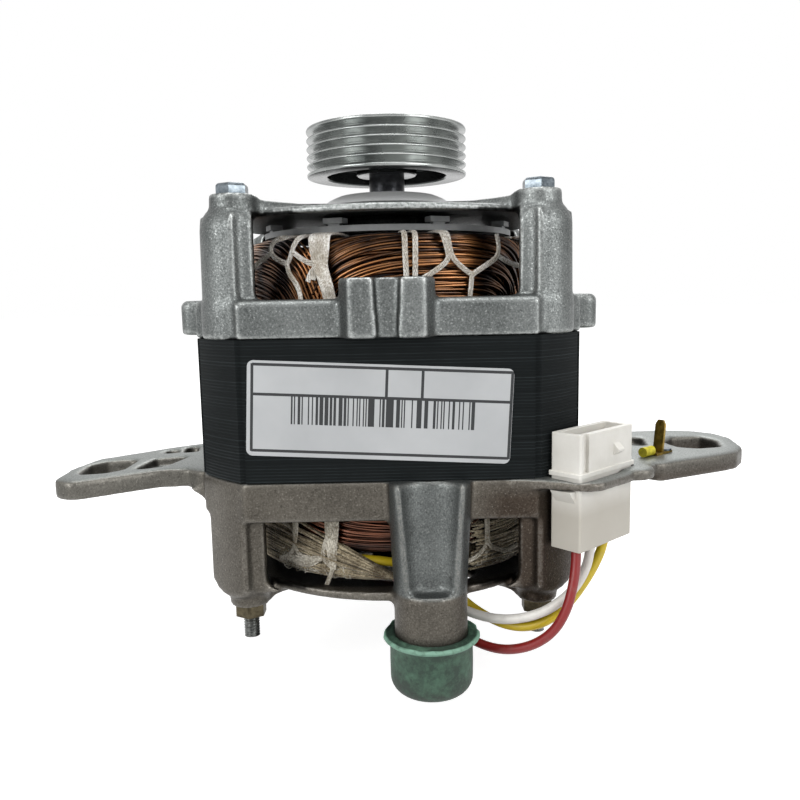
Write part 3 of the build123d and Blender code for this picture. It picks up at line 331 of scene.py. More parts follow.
def castAluminium(name, look):
    # die cast aluminium, shot blasted: grey satin with fine dark grains and painted bright glints, its edges
    # partly rubbed bare and partly painted highlight
    material, tree, place, *noises = startMaterial(name, {"Metallic": 1.0}, castings["noises"].values())
    inMm = addNode(tree, "VectorMath", {0: place, "Scale": 1 / mm}, operation="SCALE")
    axes = addNode(tree, "SeparateXYZ", [inMm]).outputs
    flat = addNode(tree, "CombineXYZ", [axes[0], axes[1]])
    sides = addNode(tree, "VectorMath", [flat], operation="ABSOLUTE")
    halves = addNode(tree, "SeparateXYZ", [sides]).outputs
    normal = addNode(tree, "TexCoord").outputs["Normal"]
    measures = {
        "x": axes[0], "y": axes[1], "z": axes[2], "side": halves[0],
        "facing": addNode(tree, "SeparateXYZ", [normal]).outputs[2],
        "square": addNode(tree, "Math", [halves[0], halves[1]], operation="MAXIMUM"),
        "reach": addNode(tree, "VectorMath", [flat], operation="LENGTH"),
        "edge": addNode(tree, "NewGeometry").outputs["Pointiness"], **dict(zip(castings["noises"], noises)),
    }
    amount = {}
    for key, (measure, *limits) in {
        "slow": ("cloud", 0.3, 0.7, 0.30, 0.72),
        "fine": ("grain", 0.30, 0.70, -look["contrast"], look["contrast"]),
        "pits": ("pit", 0.61, 0.69, 0.0, 0.45),
        # painted glints: bright specks stand in for light sparkling off the blasted grains
        "paintedGlints": ("grain", 0.64, 0.72, 0.0, look["glint"]),
        # edges, where pointiness is high, are partly rubbed bare and partly a painted highlight
        "bareAndHighlit": ("edge", 0.512, 0.560, 0.0, look["wearAndHighlight"]),
        "chipped": ("pit", 0.40, 0.54, 0.20, 1.0),
        # painted shade: the hollows, where pointiness is low, are painted dark
        "paintedHollowShade": ("edge", 0.41, 0.485, 0.25, 0.0),
        "roughness": ("grain", 0.3, 0.7, 0.54, 0.38),
        # the turned dome is bare metal, and its near white shade is also painted light against the pulley's
        # shadow
        "onDome": ("reach", 18.6, 19.2, 0.85, 0.0),
        "aboveFoot": ("z", castings["domeFoot"], castings["domeFoot"] + 0.6, 0.0, 1.0),
        # painted shade: inside the housing's walls, between these heights, the metal is painted near black
        "within": ("square", castings["inside"], castings["inside"] + 0.8, 0.88, 0.0),
        "under": ("z", 68.9, 69.4, 1.0, 0.0),
        "over": ("z", -24.6, -24.0, 0.0, 1.0),
    }.items():
        amount[key] = addNode(tree, "MapRange", [measures[measure], *limits])
    for key, first, second in (("wearAndHighlight", "bareAndHighlit", "chipped"), ("dome", "onDome", "aboveFoot"),
                               ("paintedInnerShade", "within", "under"), ("paintedInnerShade", "paintedInnerShade", "over")):
        amount[key] = addNode(tree, "Math", [amount[first], amount[second]], operation="MULTIPLY")
    depth = addNode(tree, "Math", [amount["slow"], amount["fine"]], operation="ADD", use_clamp=True)
    skin = addNode(tree, "Mix", {0: depth, 6: look["deep"], 7: look["face"]}, data_type="RGBA")
    for limits, deep, face in look["regions"]:
        share = 1.0
        for measure, first, last, most in limits:
            ramp = addNode(tree, "MapRange", [measures[measure], first, last, 0.0, most])
            share = addNode(tree, "Math", [share, ramp], operation="MULTIPLY")
        tint = addNode(tree, "Mix", {0: depth, 6: deep, 7: face}, data_type="RGBA")
        skin = addNode(tree, "Mix", {0: share, 6: skin, 7: tint}, data_type="RGBA")
    # pits, painted glints, painted shade in the hollows, edges partly rubbed bare and partly painted
    # highlight, the turned dome's bare metal partly painted light, and painted shade inside the housing
    for key, colour in (("pits", look["pit"]), ("paintedGlints", look["wornAndGlint"]), ("paintedHollowShade", "#2a2826"),
                        ("wearAndHighlight", look["wornAndGlint"]), ("dome", "#fafbfb"), ("paintedInnerShade", "#121110")):
        skin = addNode(tree, "Mix", {0: amount[key], 6: skin, 7: colour}, data_type="RGBA")
    gloss = addNode(tree, "Mix", {0: amount["dome"], 2: amount["roughness"], 3: castings["domeRoughness"]})
    return finishMaterial(material, skin, measures["grain"], 0.8, castings["grainDepth"], gloss)


def addCove(shape, corner, towardX, towardZ, radius, depth, upright=False):
    # the metal in a corner: square against the walls, a quarter circle towards the open side; it runs along
    # Y by its depth, or upright along Z, and then towardZ counts along -Y
    lap, steps = castings["lap"], castings["coveSteps"]
    outline = [(-lap, -lap), (radius, -lap)]
    for k in range(steps + 1):
        turn = math.pi / 2 * k / steps
        outline.append((radius * (1 - math.sin(turn)), radius * (1 - math.cos(turn))))
    outline.append((-lap, radius))
    verts = [shape.verts.new((towardX * x * mm, 0, towardZ * z * mm)) for x, z in outline]
    face = shape.faces.new(verts)
    grown = bmesh.ops.extrude_face_region(shape, geom=[face])["geom"]
    fresh = [v for v in grown if isinstance(v, bmesh.types.BMVert)]
    bmesh.ops.translate(shape, verts=fresh, vec=(0, depth * mm, 0))
    made = verts + fresh
    if upright:
        bmesh.ops.rotate(shape, verts=made, cent=(0, 0, 0), matrix=Matrix.Rotation(math.pi / 2, 3, "X"))
    bmesh.ops.translate(shape, verts=made, vec=Vector(corner) * mm)


def addCoves(shape, coves, quarters):
    # the front side's coves, and the same ones turned round to the other sides
    for quarter in range(quarters):
        side = bmesh.new()
        for cove in coves:
            addCove(side, *cove)
        bmesh.ops.recalc_face_normals(side, faces=side.faces)
        turn = Matrix.Rotation(quarter * math.pi / 2, 3, "Z")
        bmesh.ops.rotate(side, verts=side.verts, cent=(0, 0, 0), matrix=turn)
        joinShape(shape, side, "coves")


def makeCasting(name, node, look, material):
    shape = mergedCopy(node)
    half, valley, (inner, outer) = look["half"], castings["valley"], look["wall"]
    for level, up, radius, quarters in look["coves"]:
        corners = [((-x * half, -outer, level), x, up, radius, outer - inner) for x in (-1, 1)]
        addCoves(shape, corners, quarters)
    for low, high, flat, outward, radius in look["valleys"]:
        steps = [((x * valley, -flat, low), outward * x, 1, radius, high - low, True) for x in (-1, 1)]
        addCoves(shape, steps, 4)
    if look["dome"]:
        joinShape(shape, spun(look["dome"], castings["domeSteps"]), "dome")
    mesh = finished(name, meshFrom(shape, name), [
        ("REMESH", {"mode": "VOXEL", "voxel_size": look["voxel"] * mm}),
        ("SMOOTH", {"factor": 0.5, "iterations": castings["smoothing"]}),
    ])
    addPiece(name, mesh, "stator", castAluminium(material, look), [node])


makeCasting("upperShieldCasting", "upper_end_shield", castings["upper"], "blastedCastAluminium")
makeCasting("lowerShieldCasting", "lower_end_shield", castings["lower"], "lowerCastAluminiumPaintedShade")
print("castings made")


# Stator stack

stack = {"sheet": 0.77, "lacquer": "#080a0a", "edge": "#383e40", "lineDepth": 0.22}


def lacqueredSheets():
    # pressed steel sheets under black lacquer: fine level lines, each sheet a little lighter or darker
    material, tree, place, dust = startMaterial("blackLacqueredSheets", {
        "Roughness": 0.62, "IOR": 1.5, "Specular IOR Level": 0.06,
    }, [(4, 6, 0.5)])
    height = addNode(tree, "SeparateXYZ", [place]).outputs[2]
    count = addNode(tree, "Math", [height, 1 / (stack["sheet"] * mm)], operation="MULTIPLY")
    sheet = addNode(tree, "Math", [count], operation="FLOOR")
    within = addNode(tree, "Math", [count], operation="FRACT")
    tint = addNode(tree, "TexWhiteNoise", {"W": sheet}, noise_dimensions="1D")
    line = addNode(tree, "MapRange", [within, 0.50, 0.95, 0.0, 1.0], interpolation_type="SMOOTHSTEP")
    amount = addNode(tree, "Math", [line, dust], operation="MULTIPLY")
    varied = addNode(tree, "Math", [amount, tint, 0.12], operation="MULTIPLY_ADD")
    shade = addNode(tree, "Mix", {0: varied, 6: stack["lacquer"], 7: stack["edge"]}, data_type="RGBA")
    return finishMaterial(material, shade, line, 0.7, stack["lineDepth"])


dress(nodes["stator_core"], lacqueredSheets())


# Copper end turns

copper = {
    "groups": 4, "centre": -75, "lowerTurn": 18, "seed": 5, "points": 17,
    # the coil's outside and shoulder, and how far strands go over the end face and down into the slots
    "outside": 39.5, "shoulder": 4.0, "meanShoulder": 4.6, "inward": 3.6, "root": 3.5,
    # where the layers lie, and how much of the top one is left out
    "seat": 0.45, "layer": 0.60, "gaps": 0.18,
    # half angles of the smallest and largest loops, how far each layer leans, and how the strands stray
    "narrow": 25, "widening": 31, "spread": 1.5, "lean": 7, "stray": 3, "sway": 0.55, "ripple": 0.22,
    "tuck": 2.0,
    # shades of each layer, the deeper layers painted darker as painted shade under the layers above, and from
    # which angle off the window's middle the strands get darker, as painted shade by the posts with pooled
    # varnish there
    "tonesAndShades": [(0.10, 0.36), (0.25, 0.68), (0.45, 1.0)], "pale": 30, "shaded": 37, "fade": 0.85,
    "upper": {"base": 46, "way": 1, "wall": 11.8, "wire": 0.74, "rows": [27, 25, 25]},
    "lower": {"base": -2, "way": -1, "wall": 8.2, "wire": 0.56, "rows": [31, 29, 31]},
}


def enamelledCopper(name, light, dark):
    # winding wire in clear enamel: warm copper with a gloss skin, and darker where varnish has pooled
    material, tree, _, pooled = startMaterial(name, {
        "Metallic": 1.0, "Roughness": 0.34, "Coat Weight": 0.45, "Coat Roughness": 0.18, "Coat IOR": 1.5,
    }, [(6, 4, 0.5)])
    tone = addNode(tree, "Attribute", attribute_name="strandToneAndShade").outputs["Fac"]
    mixed = addNode(tree, "Math", [pooled, 1.3, -0.62], operation="MULTIPLY_ADD")
    whole = addNode(tree, "Math", [mixed, tone], operation="ADD", use_clamp=True)
    return finishMaterial(material, addNode(tree, "Mix", {0: whole, 6: dark, 7: light}, data_type="RGBA"))


def coilSection(along, coil, seat):
    # radius and height on the coil's outside: up the wall, round the shoulder, in over the end face
    base, way, wall = coil["base"], coil["way"], coil["wall"]
    corner = copper["shoulder"] + seat
    centre = copper["outside"] - copper["shoulder"]
    if along <= wall:
        return copper["outside"] + seat, base + way * along
    along -= wall
    if along <= corner * math.pi / 2:
        turn = along / corner
        return centre + corner * math.cos(turn), base + way * (wall + corner * math.sin(turn))
    return centre - (along - corner * math.pi / 2), base + way * (wall + corner)


def strandTones(mesh, pointsEach, tonesAndShades):
    # one shade for each strand, read by the wire's material, and painted darker towards the corner posts, as
    # painted shade there with pooled varnish
    layer = mesh.attributes.new("strandToneAndShade", "FLOAT", "POINT")
    values = []
    for k, vert in enumerate(mesh.vertices):
        angle = math.degrees(math.atan2(vert.co.y, vert.co.x))
        fromWindow = abs((angle + 45) % 90 - 45)
        fade = min(1, max(0, (fromWindow - copper["pale"]) / (copper["shaded"] - copper["pale"])))
        values.append(tonesAndShades[min(k // pointsEach, len(tonesAndShades) - 1)] * (1 - copper["fade"] * fade))
    layer.data.foreach_set("value", values)


def endTurns(name, coil, node, material, centre):
    # layers of arching strands: each rises from its slot, runs over the shoulder and comes down again
    rng = random.Random(copper["seed"])
    routes = []
    tonesAndShades = []
    root = copper["root"]
    total = coil["wall"] + copper["meanShoulder"] * math.pi / 2 + copper["inward"]
    for group in range(copper["groups"]):
        middle = centre + 360 / copper["groups"] * group
        for layer, rows in enumerate(coil["rows"]):
            seat = copper["seat"] + copper["layer"] * layer
            for row in range(rows):
                share = (row + 0.6 + 0.3 * rng.uniform(-1, 1)) / rows
                if layer == 2 and rng.random() < copper["gaps"]:
                    continue
                half = copper["narrow"] + copper["widening"] * share ** 0.8
                half += rng.uniform(-copper["spread"], copper["spread"])
                skew = copper["lean"] * (layer - 1) + rng.uniform(-copper["stray"], copper["stray"])
                sway = copper["sway"] * rng.uniform(-1, 1)
                ripple = rng.uniform(0, 2 * math.pi)
                route = []
                for k in range(copper["points"]):
                    u = 2 * k / (copper["points"] - 1) - 1
                    lift = (1 - abs(u) ** 3) ** 0.6
                    along = -root + (total * share + root) * lift + sway * math.sin(2.2 * u + ripple)
                    radius, height = coilSection(along, coil, seat)
                    radius += copper["ripple"] * math.sin(5 * u + 2 * ripple) - copper["tuck"] * abs(u) ** 6
                    route.append(onRing(radius, middle + skew * (1 - u * u) + half * u, height))
                routes.append(route)
                tonesAndShades.append(rng.uniform(*copper["tonesAndShades"][layer]))
    mesh = tubes(name, routes, coil["wire"])
    strandTones(mesh, len(mesh.vertices) // len(routes), tonesAndShades)
    addPiece(name, mesh, "stator", material, [node])


endTurns("upperEndTurns", copper["upper"], "upper_winding_turns",
         enamelledCopper("enamelledCopperWire", "#a06d41", "#1e0d06"), copper["centre"])
endTurns("lowerEndTurns", copper["lower"], "lower_winding_turns",
         enamelledCopper("reddishCopperWire", "#774a35", "#1c0b06"), copper["centre"] - copper["lowerTurn"])
addPiece("coilCore", meshFrom(mergedCopy("winding_core"), "coilCore"), "stator",
         enamelledCopper("shadedCopperWire", "#3c1e10", "#120704"), ["winding_core"], smooth=False)
print("end turns made")


# Lacing cord; places are given as angle and height on the coil's outside

cord = {"fibres": 7, "turn": 11, "flat": 0.42, "circle": 0.36, "step": 0.9, "smoothing": 3}

lacing = {
    "cord": 1.5, "fibre": 0.36, "reach": 42.4, "band": 6, "bandCord": 1.35, "bandReach": 42.7,
    # from this height up a cord goes on over the end face, through these radii and rises
    "top": 62.5, "over": [(27.5, -2.0), (29.5, 0.2), (35.0, 0.6), (39.0, 0.5)],
    "knotted": [
        # tails at the wide tie's knot
        [(-113.4, 56.0), (-115.4, 55.0), (-116.4, 53.4), (-116.9, 52.4)],
        [(-113.2, 55.4), (-114.6, 53.8), (-114.8, 52.8)],
        # the loops left of the wide tie
        [(-113.7, 56.4), (-116.7, 56.8), (-119.8, 58.2), (-122.6, 59.6)],
        [(-119.6, 63.2), (-122.0, 61.6), (-122.9, 59.8), (-123.8, 58.0), (-125.4, 56.8)],
        [(-127.3, 63.2), (-131.6, 62.6), (-133.9, 60.6), (-131.4, 58.4), (-127.8, 57.6), (-125.3, 56.8)],
        [(-125.3, 57.0), (-125.2, 54.8), (-121.6, 52.2), (-120.2, 50.2), (-119.6, 46.0)],
        [(-133.4, 59.6), (-137.6, 58.2), (-142.4, 57.2), (-147.2, 54.8), (-150.0, 50.0)],
        # a plain pair
        [(-84.1, 63.4), (-84.0, 58.0), (-83.6, 52.0), (-83.4, 47.0)],
        [(-80.6, 63.4), (-80.7, 58.0), (-80.9, 52.0), (-81.0, 47.0)],
        # the forked ties on the right
        [(-71.4, 63.4), (-70.4, 60.0), (-68.9, 57.2), (-72.4, 55.2), (-77.2, 53.0), (-80.0, 52.0)],
        [(-69.8, 63.4), (-69.2, 60.0), (-68.3, 57.2), (-65.4, 55.6), (-62.4, 53.9), (-60.8, 53.5)],
        [(-60.8, 53.4), (-57.0, 54.9), (-52.8, 56.4), (-49.4, 57.8), (-48.9, 60.6), (-50.2, 63.3)],
        [(-60.9, 53.8), (-61.2, 51.0), (-61.8, 48.4), (-61.8, 46.0)],
        [(-49.2, 57.9), (-45.6, 56.8), (-41.6, 56.0), (-37.0, 55.6)],
    ],
    # the wide tie, drawn together at the knot: the first cord's angle, the spacing and the height
    "wide": [(-115.3, 1.25, 63.4), (-114.9, 1.15, 60.4), (-113.9, 0.72, 56.2), (-111.5, 0.62, 51.6),
             (-109.6, 0.55, 46.6)],
    # a fork, from each of these angles
    "forks": [-12, 18, 48, 78, 108, 138, 168],
    "fork": [
        [(-1, 63.4), (-1, 59), (-1.6, 56.6), (-6, 54.6), (-14, 52.6)],
        [(1, 63.4), (1, 59), (1.6, 56.6), (6, 54.6), (14, 52.4)],
        [(14, 52.6), (14.8, 50.0), (15, 46.0)],
    ],
}


def polyesterCord(name, colour, dark):
    # soft multifilament cord: off white, matt, each of its fibres a little darker or paler
    material, tree, _, fine, soil = startMaterial(name, {
        "Roughness": 0.85, "IOR": 1.45, "Sheen Weight": 0.3,
    }, [(0.5, 3, 0.5), (5, 5, 0.5)])
    both = addNode(tree, "Math", [fine, soil], operation="MULTIPLY")
    fade = addNode(tree, "MapRange", [both, 0.16, 0.34, 0.0, 1.0])
    single = addNode(tree, "NewGeometry").outputs["Random Per Island"]
    tone = addNode(tree, "MapRange", [single, 0.0, 1.0, 0.55, 1.0])
    fibre = addNode(tree, "Math", [fade, tone], operation="MULTIPLY")
    shade = addNode(tree, "Mix", {0: fibre, 6: dark, 7: colour}, data_type="RGBA")
    return finishMaterial(material, shade, fine, 0.7, 0.15)


def overShoulder(places, reach):
    # the cord's places, carried on over the coil's end face where it starts at the top
    route = []
    angle, start = places[0]
    if start >= lacing["top"]:
        route = [onRing(radius, angle, start + rise) for radius, rise in lacing["over"]]
    return route + [onRing(reach, angle, height) for angle, height in places]


def twisted(route, diameter):
    # a soft cord's fibres laid round its route in millimetres: side by side, flattened and slowly turning
    points = [Vector(p) for p in route]
    fine = []
    for a, b in zip(points, points[1:]):
        steps = max(2, int((b - a).length / cord["step"]))
        fine += [a.lerp(b, k / steps) for k in range(steps)]
    fine.append(points[-1])
    for _ in range(cord["smoothing"]):
        fine = [fine[0]] + [(p + 2 * q + r) / 4 for p, q, r in zip(fine, fine[1:], fine[2:])] + [fine[-1]]
    made = []
    for s in range(cord["fibres"]):
        run = 0.0
        strand = []
        for k, p in enumerate(fine):
            ahead = (fine[min(k + 1, len(fine) - 1)] - fine[max(k - 1, 0)]).normalized()
            out = Vector((p.x, p.y, 0)).normalized()
            side = ahead.cross(out).normalized()
            lift = side.cross(ahead)
            turned = 2 * math.pi * (run / cord["turn"] + s / cord["fibres"])
            offset = side * math.cos(turned) + lift * math.sin(turned) * cord["flat"]
            strand.append(p + offset * diameter * cord["circle"])
            if k + 1 < len(fine):
                run += (fine[k + 1] - p).length
        made.append(strand)
    return made


def makeUpperLacing():
    routes = []
    for places in lacing["knotted"]:
        routes += twisted(overShoulder(places, lacing["reach"]), lacing["cord"])
    for k in range(lacing["band"]):
        places = [(angle + spacing * k, height) for angle, spacing, height in lacing["wide"]]
        routes += twisted(overShoulder(places, lacing["bandReach"]), lacing["bandCord"])
    for start in lacing["forks"]:
        for fork in lacing["fork"]:
            places = [(start + angle, height) for angle, height in fork]
            routes += twisted(overShoulder(places, lacing["reach"]), lacing["cord"])
    mesh = tubes("upperLacingCord", routes, lacing["fibre"], sides=0)
    addPiece("upperLacingCord", mesh, "stator", polyesterCord("whitePolyesterCord", "#fbf9f4", "#ada393"),
             ["upper_lacing"])


makeUpperLacing()


# Lower wrap of single fibres, and the braided sleeve over the lead joints

wrap = {
    "fibre": 0.55, "seed": 11,
    # fans of fibres over the coil's outside: start and end angle, low and high there at both ends, how many
    "fans": [
        (-154, -90, (-21.8, -5.0), (-21.9, -20.4), 74),
        (-62, -22, (-21.6, -8.0), (-22.3, -6.5), 56),
        (-22, 60, (-21.5, -7.0), (-21.0, -12.0), 36),
        (60, 206, (-21.0, -12.0), (-21.8, -5.0), 36),
    ],
    # the coil's radius below the lacing, and how the fibres stray from it
    "reach": 40.9, "lift": 0.55, "late": 0.10, "wave": 0.05, "bulge": 0.9, "growth": 0.5, "sway": 0.45,
    "turnIn": -19.4, "inward": 0.55, "narrowing": 1.9,
}

sleeve = {
    "circle": 37, "centre": -18.2, "radius": 2.4, "start": -98, "sweep": -325, "strands": 26, "fibre": 0.62,
    "steps": 90, "twist": 5, "core": 3.6, "coreSteps": 60, "end": 0.35, "taper": 9,
}

fluff = {
    # start and end angle of each tuft, and how many fibres
    "tufts": [(-137, -120, 60), (-116, -106, 22), (-60, -40, 26)],
    "fibre": 0.26, "points": 7, "from": (-21.2, -17.6), "limits": (-22.0, -16.2), "reach": 41.8, "sway": 0.7,
    "along": 0.9, "up": 0.55, "curl": 0.8, "turnIn": -20, "inward": 0.5,
}


def makeLowerWrap():
    rng = random.Random(wrap["seed"])
    routes = []
    for start, end, startLevels, endLevels, count in wrap["fans"]:
        steps = max(10, int((end - start) / 5))
        for k in range(count):
            share = (k + 0.5) / count
            wave = rng.uniform(0, 2 * math.pi)
            lift = rng.uniform(-wrap["lift"], wrap["lift"])
            late = rng.uniform(0.0, wrap["late"])
            route = []
            for s in range(steps + 1):
                t = late + s / steps * (1 - late)
                low = startLevels[0] * (1 - t) + endLevels[0] * t
                high = startLevels[1] + (endLevels[1] - startLevels[1]) * t ** wrap["narrowing"]
                height = low + (high - low) * min(1, max(0, share + wrap["wave"] * math.sin(5 * t + wave)))
                bulge = wrap["bulge"] * math.sin(math.pi * share) + wrap["growth"] * t
                radius = wrap["reach"] + bulge + wrap["sway"] * math.sin(3 * t + 2 * wave) + lift
                radius -= wrap["inward"] * max(0, wrap["turnIn"] - height)
                route.append(onRing(radius, start + (end - start) * t, height))
            routes.append(route)
    addPiece("lowerBraidWrap", tubes("lowerBraidWrap", routes, wrap["fibre"], sides=0), "stator", braidBeige)


def sleeveStrand(steps, radius, phase, twist):
    # one strand along the sleeve's round body, which is thinner towards both ends
    route = []
    for k in range(steps + 1):
        share = k / steps
        reach = radius * min(1.0, sleeve["end"] + sleeve["taper"] * min(share, 1 - share))
        turned = phase + twist * share
        angle = sleeve["start"] + sleeve["sweep"] * share
        route.append(onRing(sleeve["circle"] + reach * math.cos(turned), angle,
                            sleeve["centre"] + reach * math.sin(turned)))
    return route


def makeSleeve():
    strands = []
    for s in range(sleeve["strands"]):
        phase = 2 * math.pi * s / sleeve["strands"]
        strands.append(sleeveStrand(sleeve["steps"], sleeve["radius"], phase, sleeve["twist"]))
    middle = sleeveStrand(sleeve["coreSteps"], 0, 0, 0)
    shape = bmesh.new()
    shape.from_mesh(tubes("bundleBody", [middle], sleeve["core"], sides=3))
    shape.from_mesh(tubes("bundleBraid", strands, sleeve["fibre"], sides=0))
    addPiece("bundleSleeve", meshFrom(shape, "bundleSleeve"), "stator", braidBeige, ["lead_joint_sleeve"])


def makeFluff():
    # loose white fibres worked out of the wrap along its lower edge
    rng = random.Random(wrap["seed"] + 1)
    routes = []
    lowest, highest = fluff["limits"]
    for start, end, count in fluff["tufts"]:
        for _ in range(count):
            angle = rng.uniform(start, end)
            height = rng.uniform(*fluff["from"])
            heading = rng.uniform(-1, 1)
            route = []
            for k in range(fluff["points"]):
                angle += fluff["along"] * math.cos(heading)
                height += fluff["up"] * math.sin(heading)
                heading += rng.uniform(-fluff["curl"], fluff["curl"])
                height = min(highest, max(lowest, height))
                radius = fluff["reach"] + fluff["sway"] * math.sin(k + heading)
                radius -= fluff["inward"] * max(0, fluff["turnIn"] - height)
                route.append(onRing(radius, angle, height))
            routes.append(route)
    addPiece("looseFibres", tubes("looseFibres", routes, fluff["fibre"], sides=0), "stator", soiledCord)


# Lower lacing

lowerLacing = {
    "cord": 1.3, "underCord": 1.2, "fibre": 0.33, "reach": 42.7, "band": 5,
    "knotted": [
        # tail of the wide tie and the strands that come to its knot from the left
        [(-110.6, -18.6), (-111.4, -20.6), (-113.0, -23.0), (-114.2, -25.2)],
        [(-110.8, -18.8), (-112.6, -18.2), (-114.8, -16.6), (-113.6, -13.0), (-110.6, -8.0), (-109.6, -3.0)],
        [(-114.6, -16.8), (-118.0, -16.6), (-122.0, -18.6), (-126.0, -17.2), (-130.0, -18.6)],
        [(-114.4, -16.4), (-119.0, -18.9), (-124.0, -19.4), (-129.0, -18.2), (-134.0, -19.4)],
        # forked tie at the far left
        [(-126.0, -3.0), (-126.0, -8.6), (-126.2, -12.6), (-126.2, -15.6), (-124.0, -17.4), (-119.6, -17.0)],
        [(-124.6, -3.0), (-125.0, -8.6), (-125.6, -12.6), (-126.6, -15.8), (-129.6, -18.0), (-134.0, -19.0)],
        [(-126.2, -11.0), (-130.0, -9.2), (-135.0, -8.4), (-141.0, -7.6)],
        # forked tie right of the leg
        [(-55.9, -3.0), (-55.8, -8.0), (-55.6, -12.4), (-55.6, -15.4), (-59.0, -17.4), (-64.0, -18.6)],
        [(-54.9, -3.0), (-54.9, -8.0), (-55.0, -12.4), (-55.0, -15.4), (-51.0, -17.0), (-45.6, -18.4),
         (-39, -18)],
    ],
    # the wide tie left of the leg, in the same way
    "wide": [(-112.6, 1.0, -3.0), (-112.6, 0.95, -8.0), (-112.4, 0.7, -13.0), (-111.6, 0.4, -17.0),
             (-110.9, 0.15, -19.2)],
    # two plain cords, from each of these angles
    "plainTies": [-18, 12, 42, 72, 102, 132, 162],
    "plain": [[(0, -3), (0, -9), (0, -14), (0.5, -18)], [(0.5, -16), (8, -19), (16, -18), (29, -16)]],
    # under every tie the cord goes on into the bore, through these radii and heights
    "frontTies": [-111.0, -55.4],
    "under": [(42.4, -17), (41.6, -20.4), (38, -21.6), (33.6, -20.6), (31.5, -16)],
}


def makeLowerLacing():
    ties = list(lowerLacing["knotted"])
    for k in range(lowerLacing["band"]):
        ties.append([(angle + spacing * k, height) for angle, spacing, height in lowerLacing["wide"]])
    for start in lowerLacing["plainTies"]:
        for plain in lowerLacing["plain"]:
            ties.append([(start + angle, height) for angle, height in plain])
    routes = []
    for places in ties:
        route = [onRing(lowerLacing["reach"], angle, height) for angle, height in places]
        routes += twisted(route, lowerLacing["cord"])
    for angle in lowerLacing["frontTies"] + lowerLacing["plainTies"]:
        under = [onRing(radius, angle, height) for radius, height in lowerLacing["under"]]
        routes += twisted(under, lowerLacing["underCord"])
    mesh = tubes("lowerLacingCord", routes, lowerLacing["fibre"], sides=0)
    addPiece("lowerLacingCord", mesh, "stator", soiledCord, ["lower_lacing"])


braidBeige = polyesterCord("varnishedGlassBraid", "#bfb295", "#5c4f38")
soiledCord = polyesterCord("soiledPolyesterCord", "#dfdacd", "#7f7562")
makeLowerWrap()
makeSleeve()
makeFluff()
makeLowerLacing()
print("lacing made")


# Pulley

pulley = {
    "top": 94.7, "base": 81.7, "radius": 22.45, "ribs": 5, "pitch": 2.34, "depth": 1.9, "crest": 0.42,
    "roundness": 0.14, "root": 0.24, "steps": 144, "sharp": 38,
    # the rounded edge of the rim's outside, as back from the radius and down from the end
    "edge": [(0.4, 0.0), (0.12, 0.1), (0.0, 0.4)],
    # the inside of the rim, the web and the hub, from below
    "inside": [
        (17.2, 81.7), (16.8, 82.1), (16.8, 85.4), (16.3, 85.8), (9.0, 85.8), (8.5, 85.3), (8.5, 82.5),
        (8.2, 82.2), (5.0, 82.2), (5.0, 93.0), (8.2, 93.0), (8.5, 92.7), (8.5, 89.4), (9.1, 88.8),
        (16.2, 88.8), (16.8, 89.4), (16.8, 94.3), (17.3, 94.7),
    ],
    "tool": 0.3, "paintedUnderShade": "#2d2f2f",
}


def turnedSteel():
    # steel turned on a lathe: satin bright, with fine tool rings 0.3 mm apart drawn coarse enough to show
    material, tree, place, stain = startMaterial("turnedSteel", {
        "Metallic": 1.0, "Anisotropic": 0.6, "Anisotropic Rotation": 0.25,
    }, [(12, 3, 0.5)])
    axes = addNode(tree, "SeparateXYZ", [place]).outputs
    flat = addNode(tree, "CombineXYZ", [axes[0], axes[1]])
    radius = addNode(tree, "VectorMath", [flat], operation="LENGTH")
    rings = addNode(tree, "CombineXYZ", {0: radius, 2: axes[2]})
    tool = addNode(tree, "TexNoise", {"Vector": rings, "Scale": 1 / (pulley["tool"] * mm), "Detail": 2})
    fade = addNode(tree, "MapRange", [stain, 0.35, 0.65, 0.0, 1.0])
    skin = addNode(tree, "Mix", {0: fade, 6: "#707372", 7: "#a0a3a1"}, data_type="RGBA")
    # its underside and the inside of its rim are painted dark, as painted shade
    facing = addNode(tree, "SeparateXYZ", [addNode(tree, "TexCoord").outputs["Normal"]]).outputs[2]
    below = addNode(tree, "MapRange", [facing, -0.85, -0.97, 0.0, 0.9])
    inside = addNode(tree, "MapRange", [radius, 17.3 * mm, 16.9 * mm, 0.0, 0.96])
    paintedUnderShade = addNode(tree, "Math", [below, inside], operation="MAXIMUM")
    shade = addNode(tree, "Mix", {0: paintedUnderShade, 6: skin, 7: pulley["paintedUnderShade"]}, data_type="RGBA")
    gloss = addNode(tree, "MapRange", [stain, 0.3, 0.7, 0.22, 0.30])
    return finishMaterial(material, shade, tool, 0.5, 0.05, gloss)


def makePulley():
    top, base, outer, pitch = pulley["top"], pulley["base"], pulley["radius"], pulley["pitch"]
    half, soft, root = pulley["crest"] / 2, pulley["roundness"], pulley["root"]
    bottom = outer - pulley["depth"]
    profile = [(outer - back, top - down) for back, down in pulley["edge"]]
    first = (top + base + pulley["ribs"] * pitch) / 2
    for k in range(pulley["ribs"]):
        ridge = first - k * pitch
        middle = ridge - pitch / 2
        profile += [
            (outer, ridge - half + soft), (outer - soft, ridge - half - 0.05),
            (bottom + soft, middle + root), (bottom, middle), (bottom + soft, middle - root),
            (outer - soft, ridge - pitch + half + 0.05), (outer, ridge - pitch + half - soft),
        ]
    profile += [(outer - back, base + up) for back, up in reversed(pulley["edge"])]
    mesh = meshFrom(spun(profile + pulley["inside"], pulley["steps"]), "ribbedPulley")
    mesh.shade_smooth()
    sharpen(mesh, pulley["sharp"])
    addPiece("ribbedPulley", mesh, "rotor", turnedSteel(), ["pulley"])


makePulley()
print("pulley made")


# Rubber cap on the leg

